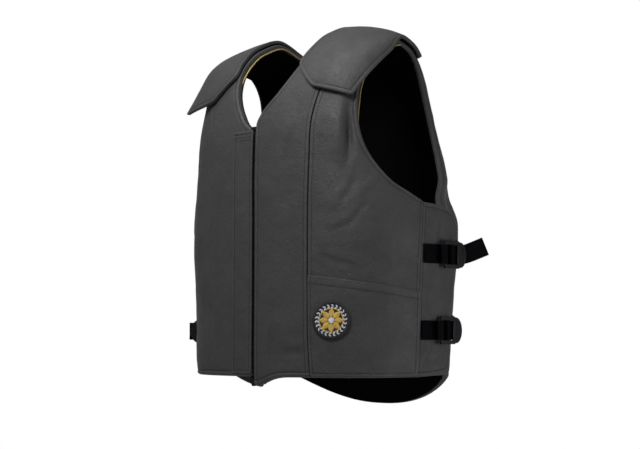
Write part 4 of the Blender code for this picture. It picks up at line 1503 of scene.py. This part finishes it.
def on_pocket(points, out):
    """Badge coordinates, right and up from its centre, as points on the pocket."""
    step = np.linalg.norm(outline(BADGE_TURN + 1, BADGE_LEVEL) - outline(BADGE_TURN, BADGE_LEVEL))
    points = np.asarray(points, float)
    base = 2 * CLEAR + POCKET + CLEAR
    return place(BADGE_TURN + points[..., 0] / step, BADGE_LEVEL + points[..., 1], base + out)


def polar(radius, angle):
    return np.stack([radius * np.cos(angle), radius * np.sin(angle)], axis=-1)


def add_badge_ground():
    angles = np.linspace(0, 2 * np.pi, 97)[:-1]
    count, radius = len(angles), BADGE_RADIUS
    profile = [(0.0, 0.0), (radius - 0.0006, 0.0), (radius - 0.0002, 0.0004)]
    profile += [(radius - 0.0003, 0.0010), (radius - 0.0010, BADGE)]
    profile += [(r, BADGE) for r in np.linspace(radius - 0.003, 0.0, 12)]
    grid = np.stack([on_pocket(polar(np.full(count, r), angles), out) for r, out in profile])
    faces = []
    for r in range(len(profile) - 1):
        for c in range(count):
            a, b = r * count + c, r * count + (c + 1) % count
            faces.append((a, b, b + count, a + count))
    mesh = mesh_of("badge_ground", grid.reshape(-1, 3), faces)
    weld(mesh, lambda vert: True)
    ground = dress(new_object("badge_ground", mesh, TWILL), "embroidery", "badge")


def rim_threads():
    """Overlocking round the rim, each thread leaning a little."""
    radii = np.array((0.0199, 0.0209, 0.0222, 0.0233, 0.0237))
    outs = np.array((BADGE, BADGE + 0.00050, BADGE + 0.00055, BADGE - 0.0001, 0.0002))
    lean = np.linspace(0, 0.03, 5)
    angles = np.linspace(0, 2 * np.pi, 171)[:-1]
    return [on_pocket(polar(radii, angle + lean), outs) for angle in angles]


def domed(spots, height):
    """A thread across a raised patch of the rosette."""
    return on_pocket(spots, BADGE + height * (1 - np.linspace(-1, 1, 5) ** 2))


def petal_threads():
    threads = []
    for middle in np.arange(8) * np.pi / 4:
        for share in np.linspace(0, 1, 17):
            width = 0.0034 * math.sin(math.pi * (0.12 + 0.80 * share))
            across = np.linspace(-1, 1, 5) * width
            spots = polar(np.full(5, 0.0046 + 0.0096 * share), np.full(5, middle))
            spots += np.stack([-np.sin(middle) * across, np.cos(middle) * across], axis=-1)
            threads.append(domed(spots, 0.0007))
    return threads


def knot_threads():
    threads = []
    for row in np.linspace(-1, 1, 15):
        half = KNOT_RADIUS * math.sqrt(max(1 - row * row, 0.02))
        across = np.linspace(-half, half, 5)
        threads.append(domed(np.stack([across, np.full(5, KNOT_RADIUS * row)], axis=-1), 0.0010))
    return threads


def rope_threads():
    """Two strands twisted round each other in a ring."""
    around = np.linspace(0, 2 * np.pi, 481)
    threads = []
    for phase in (0.0, np.pi):
        sway = 0.00035 * np.cos(around * ROPE_TWISTS + phase)
        lift = BADGE + 0.0003 + 0.00025 * np.sin(around * ROPE_TWISTS + phase)
        threads.append(on_pocket(polar(ROPE_RADIUS + sway, around), lift))
    return threads


def leaf_threads():
    """A wreath of pairs of leaves, each a row of short threads."""
    threads = []
    for middle in np.arange(22) * np.pi / 11:
        stem = polar(np.array(WREATH_RADIUS), np.array(middle))
        for slope in (1, -1):
            heading = middle + np.pi / 2 - slope * 0.55
            run, side = polar(1.0, heading), polar(1.0, heading + np.pi / 2)
            for share in np.linspace(0.08, 0.92, 8):
                centre = stem + run * 0.0040 * share + side * slope * -0.0003
                half = side * 0.00085 * math.sin(math.pi * share)
                threads.append(on_pocket([centre - half, centre, centre + half], BADGE + 0.0003))
    return threads


def add_badge():
    add_badge_ground()
    for name, tree, threads, radius in (
        ("rim", DARK_CORD, rim_threads(), 0.00040),
        ("petals", GOLD_CORD, petal_threads(), 0.00036),
        ("knot", WHITE_CORD, knot_threads(), 0.00034),
        ("rope", GOLD_CORD, rope_threads(), 0.00036),
        ("leaves", WHITE_CORD, leaf_threads(), 0.00028),
    ):
        dress(grow(f"badge_{name}", tree, *line_pairs(threads), Radius=radius), "embroidery")


def build_vest():
    for side in (1, -1):
        add_front(side)
        add_side_panel(side)
        add_flap(side)
    add_back()
    add_laid_pieces()
    add_badge()
    add_zip()
    add_piping()
    for strap in STRAPS:
        add_strap(strap)
    add_stitches()


# Setting

def add_floor():
    made, tree, shader = shader_material("pale_floor", (0.90, 0.90, 0.90), 0.95)
    tint(tree, shader, clouds(tree, on_object(tree), 30.0), (0.88, 0.88, 0.88), (0.92, 0.92, 0.92))
    corners = [(-4, -4, -1.25), (4, -4, -1.25), (4, 4, -1.25), (-4, 4, -1.25)]
    mesh = bpy.data.meshes.new("floor")
    mesh.from_pydata(corners, [], [(0, 1, 2, 3)])
    new_object("floor", mesh, made)


def aim_along(thing, direction):
    """Turns a light or a camera to look along a direction."""
    thing.rotation_euler = direction.to_track_quat("-Z", "Y").to_euler()


def add_light(name, spot, aim, size, power):
    data = bpy.data.lights.new(name, "AREA")
    data.shape = "RECTANGLE"
    data.size, data.size_y = size
    data.energy = power
    made = new_object(name, data)
    made.location = spot
    aim_along(made, Vector(aim) - Vector(spot))


def add_world():
    """A dim studio with a lit white backdrop behind the vest."""
    world = bpy.data.worlds.new("studio")
    world.use_nodes = True
    tree = world.node_tree
    way = add_node(tree, "ShaderNodeTexCoord").outputs["Generated"]
    values = {0: way, 1: (-0.680, 0.729, 0.077)}
    facing = add_node(tree, "ShaderNodeVectorMath", values, operation="DOT_PRODUCT")
    bright = ramp(tree, facing.outputs["Value"], 0.88, 0.955, 0.20, 1.0)
    backdrop = tree.nodes["Background"]
    backdrop.inputs["Color"].default_value = (1.0, 1.0, 1.0, 1.0)
    tree.links.new(bright, backdrop.inputs["Strength"])
    bpy.context.scene.world = world


def add_camera():
    """The photo's view: from the front and the wearer's left, a little from below."""
    data = bpy.data.cameras.new("camera")
    data.lens = 82.1
    data.sensor_width = 36.0
    data.shift_x = -0.0091
    camera = new_object("camera", data)
    camera.location = (1.364, -1.438, -0.396)
    tilt = math.radians(4.445)
    aim_along(camera, Vector((-0.682 * math.cos(tilt), 0.731 * math.cos(tilt), math.sin(tilt))))
    bpy.context.scene.camera = camera


def add_setting():
    bpy.context.scene.view_settings.view_transform = "Standard"
    add_world()
    add_floor()
    add_light("key", (0.16, -0.80, 0.66), (0.02, -0.05, -0.10), (0.45, 0.40), 12.4)
    add_light("side", (0.98, 0.32, -0.42), (0.18, 0.02, -0.25), (0.45, 0.45), 3.0)
    add_light("top", (-0.20, -0.30, 1.00), (0.0, 0.0, -0.1), (0.7, 0.7), 4.0)
    add_camera()


build_vest()
add_setting()
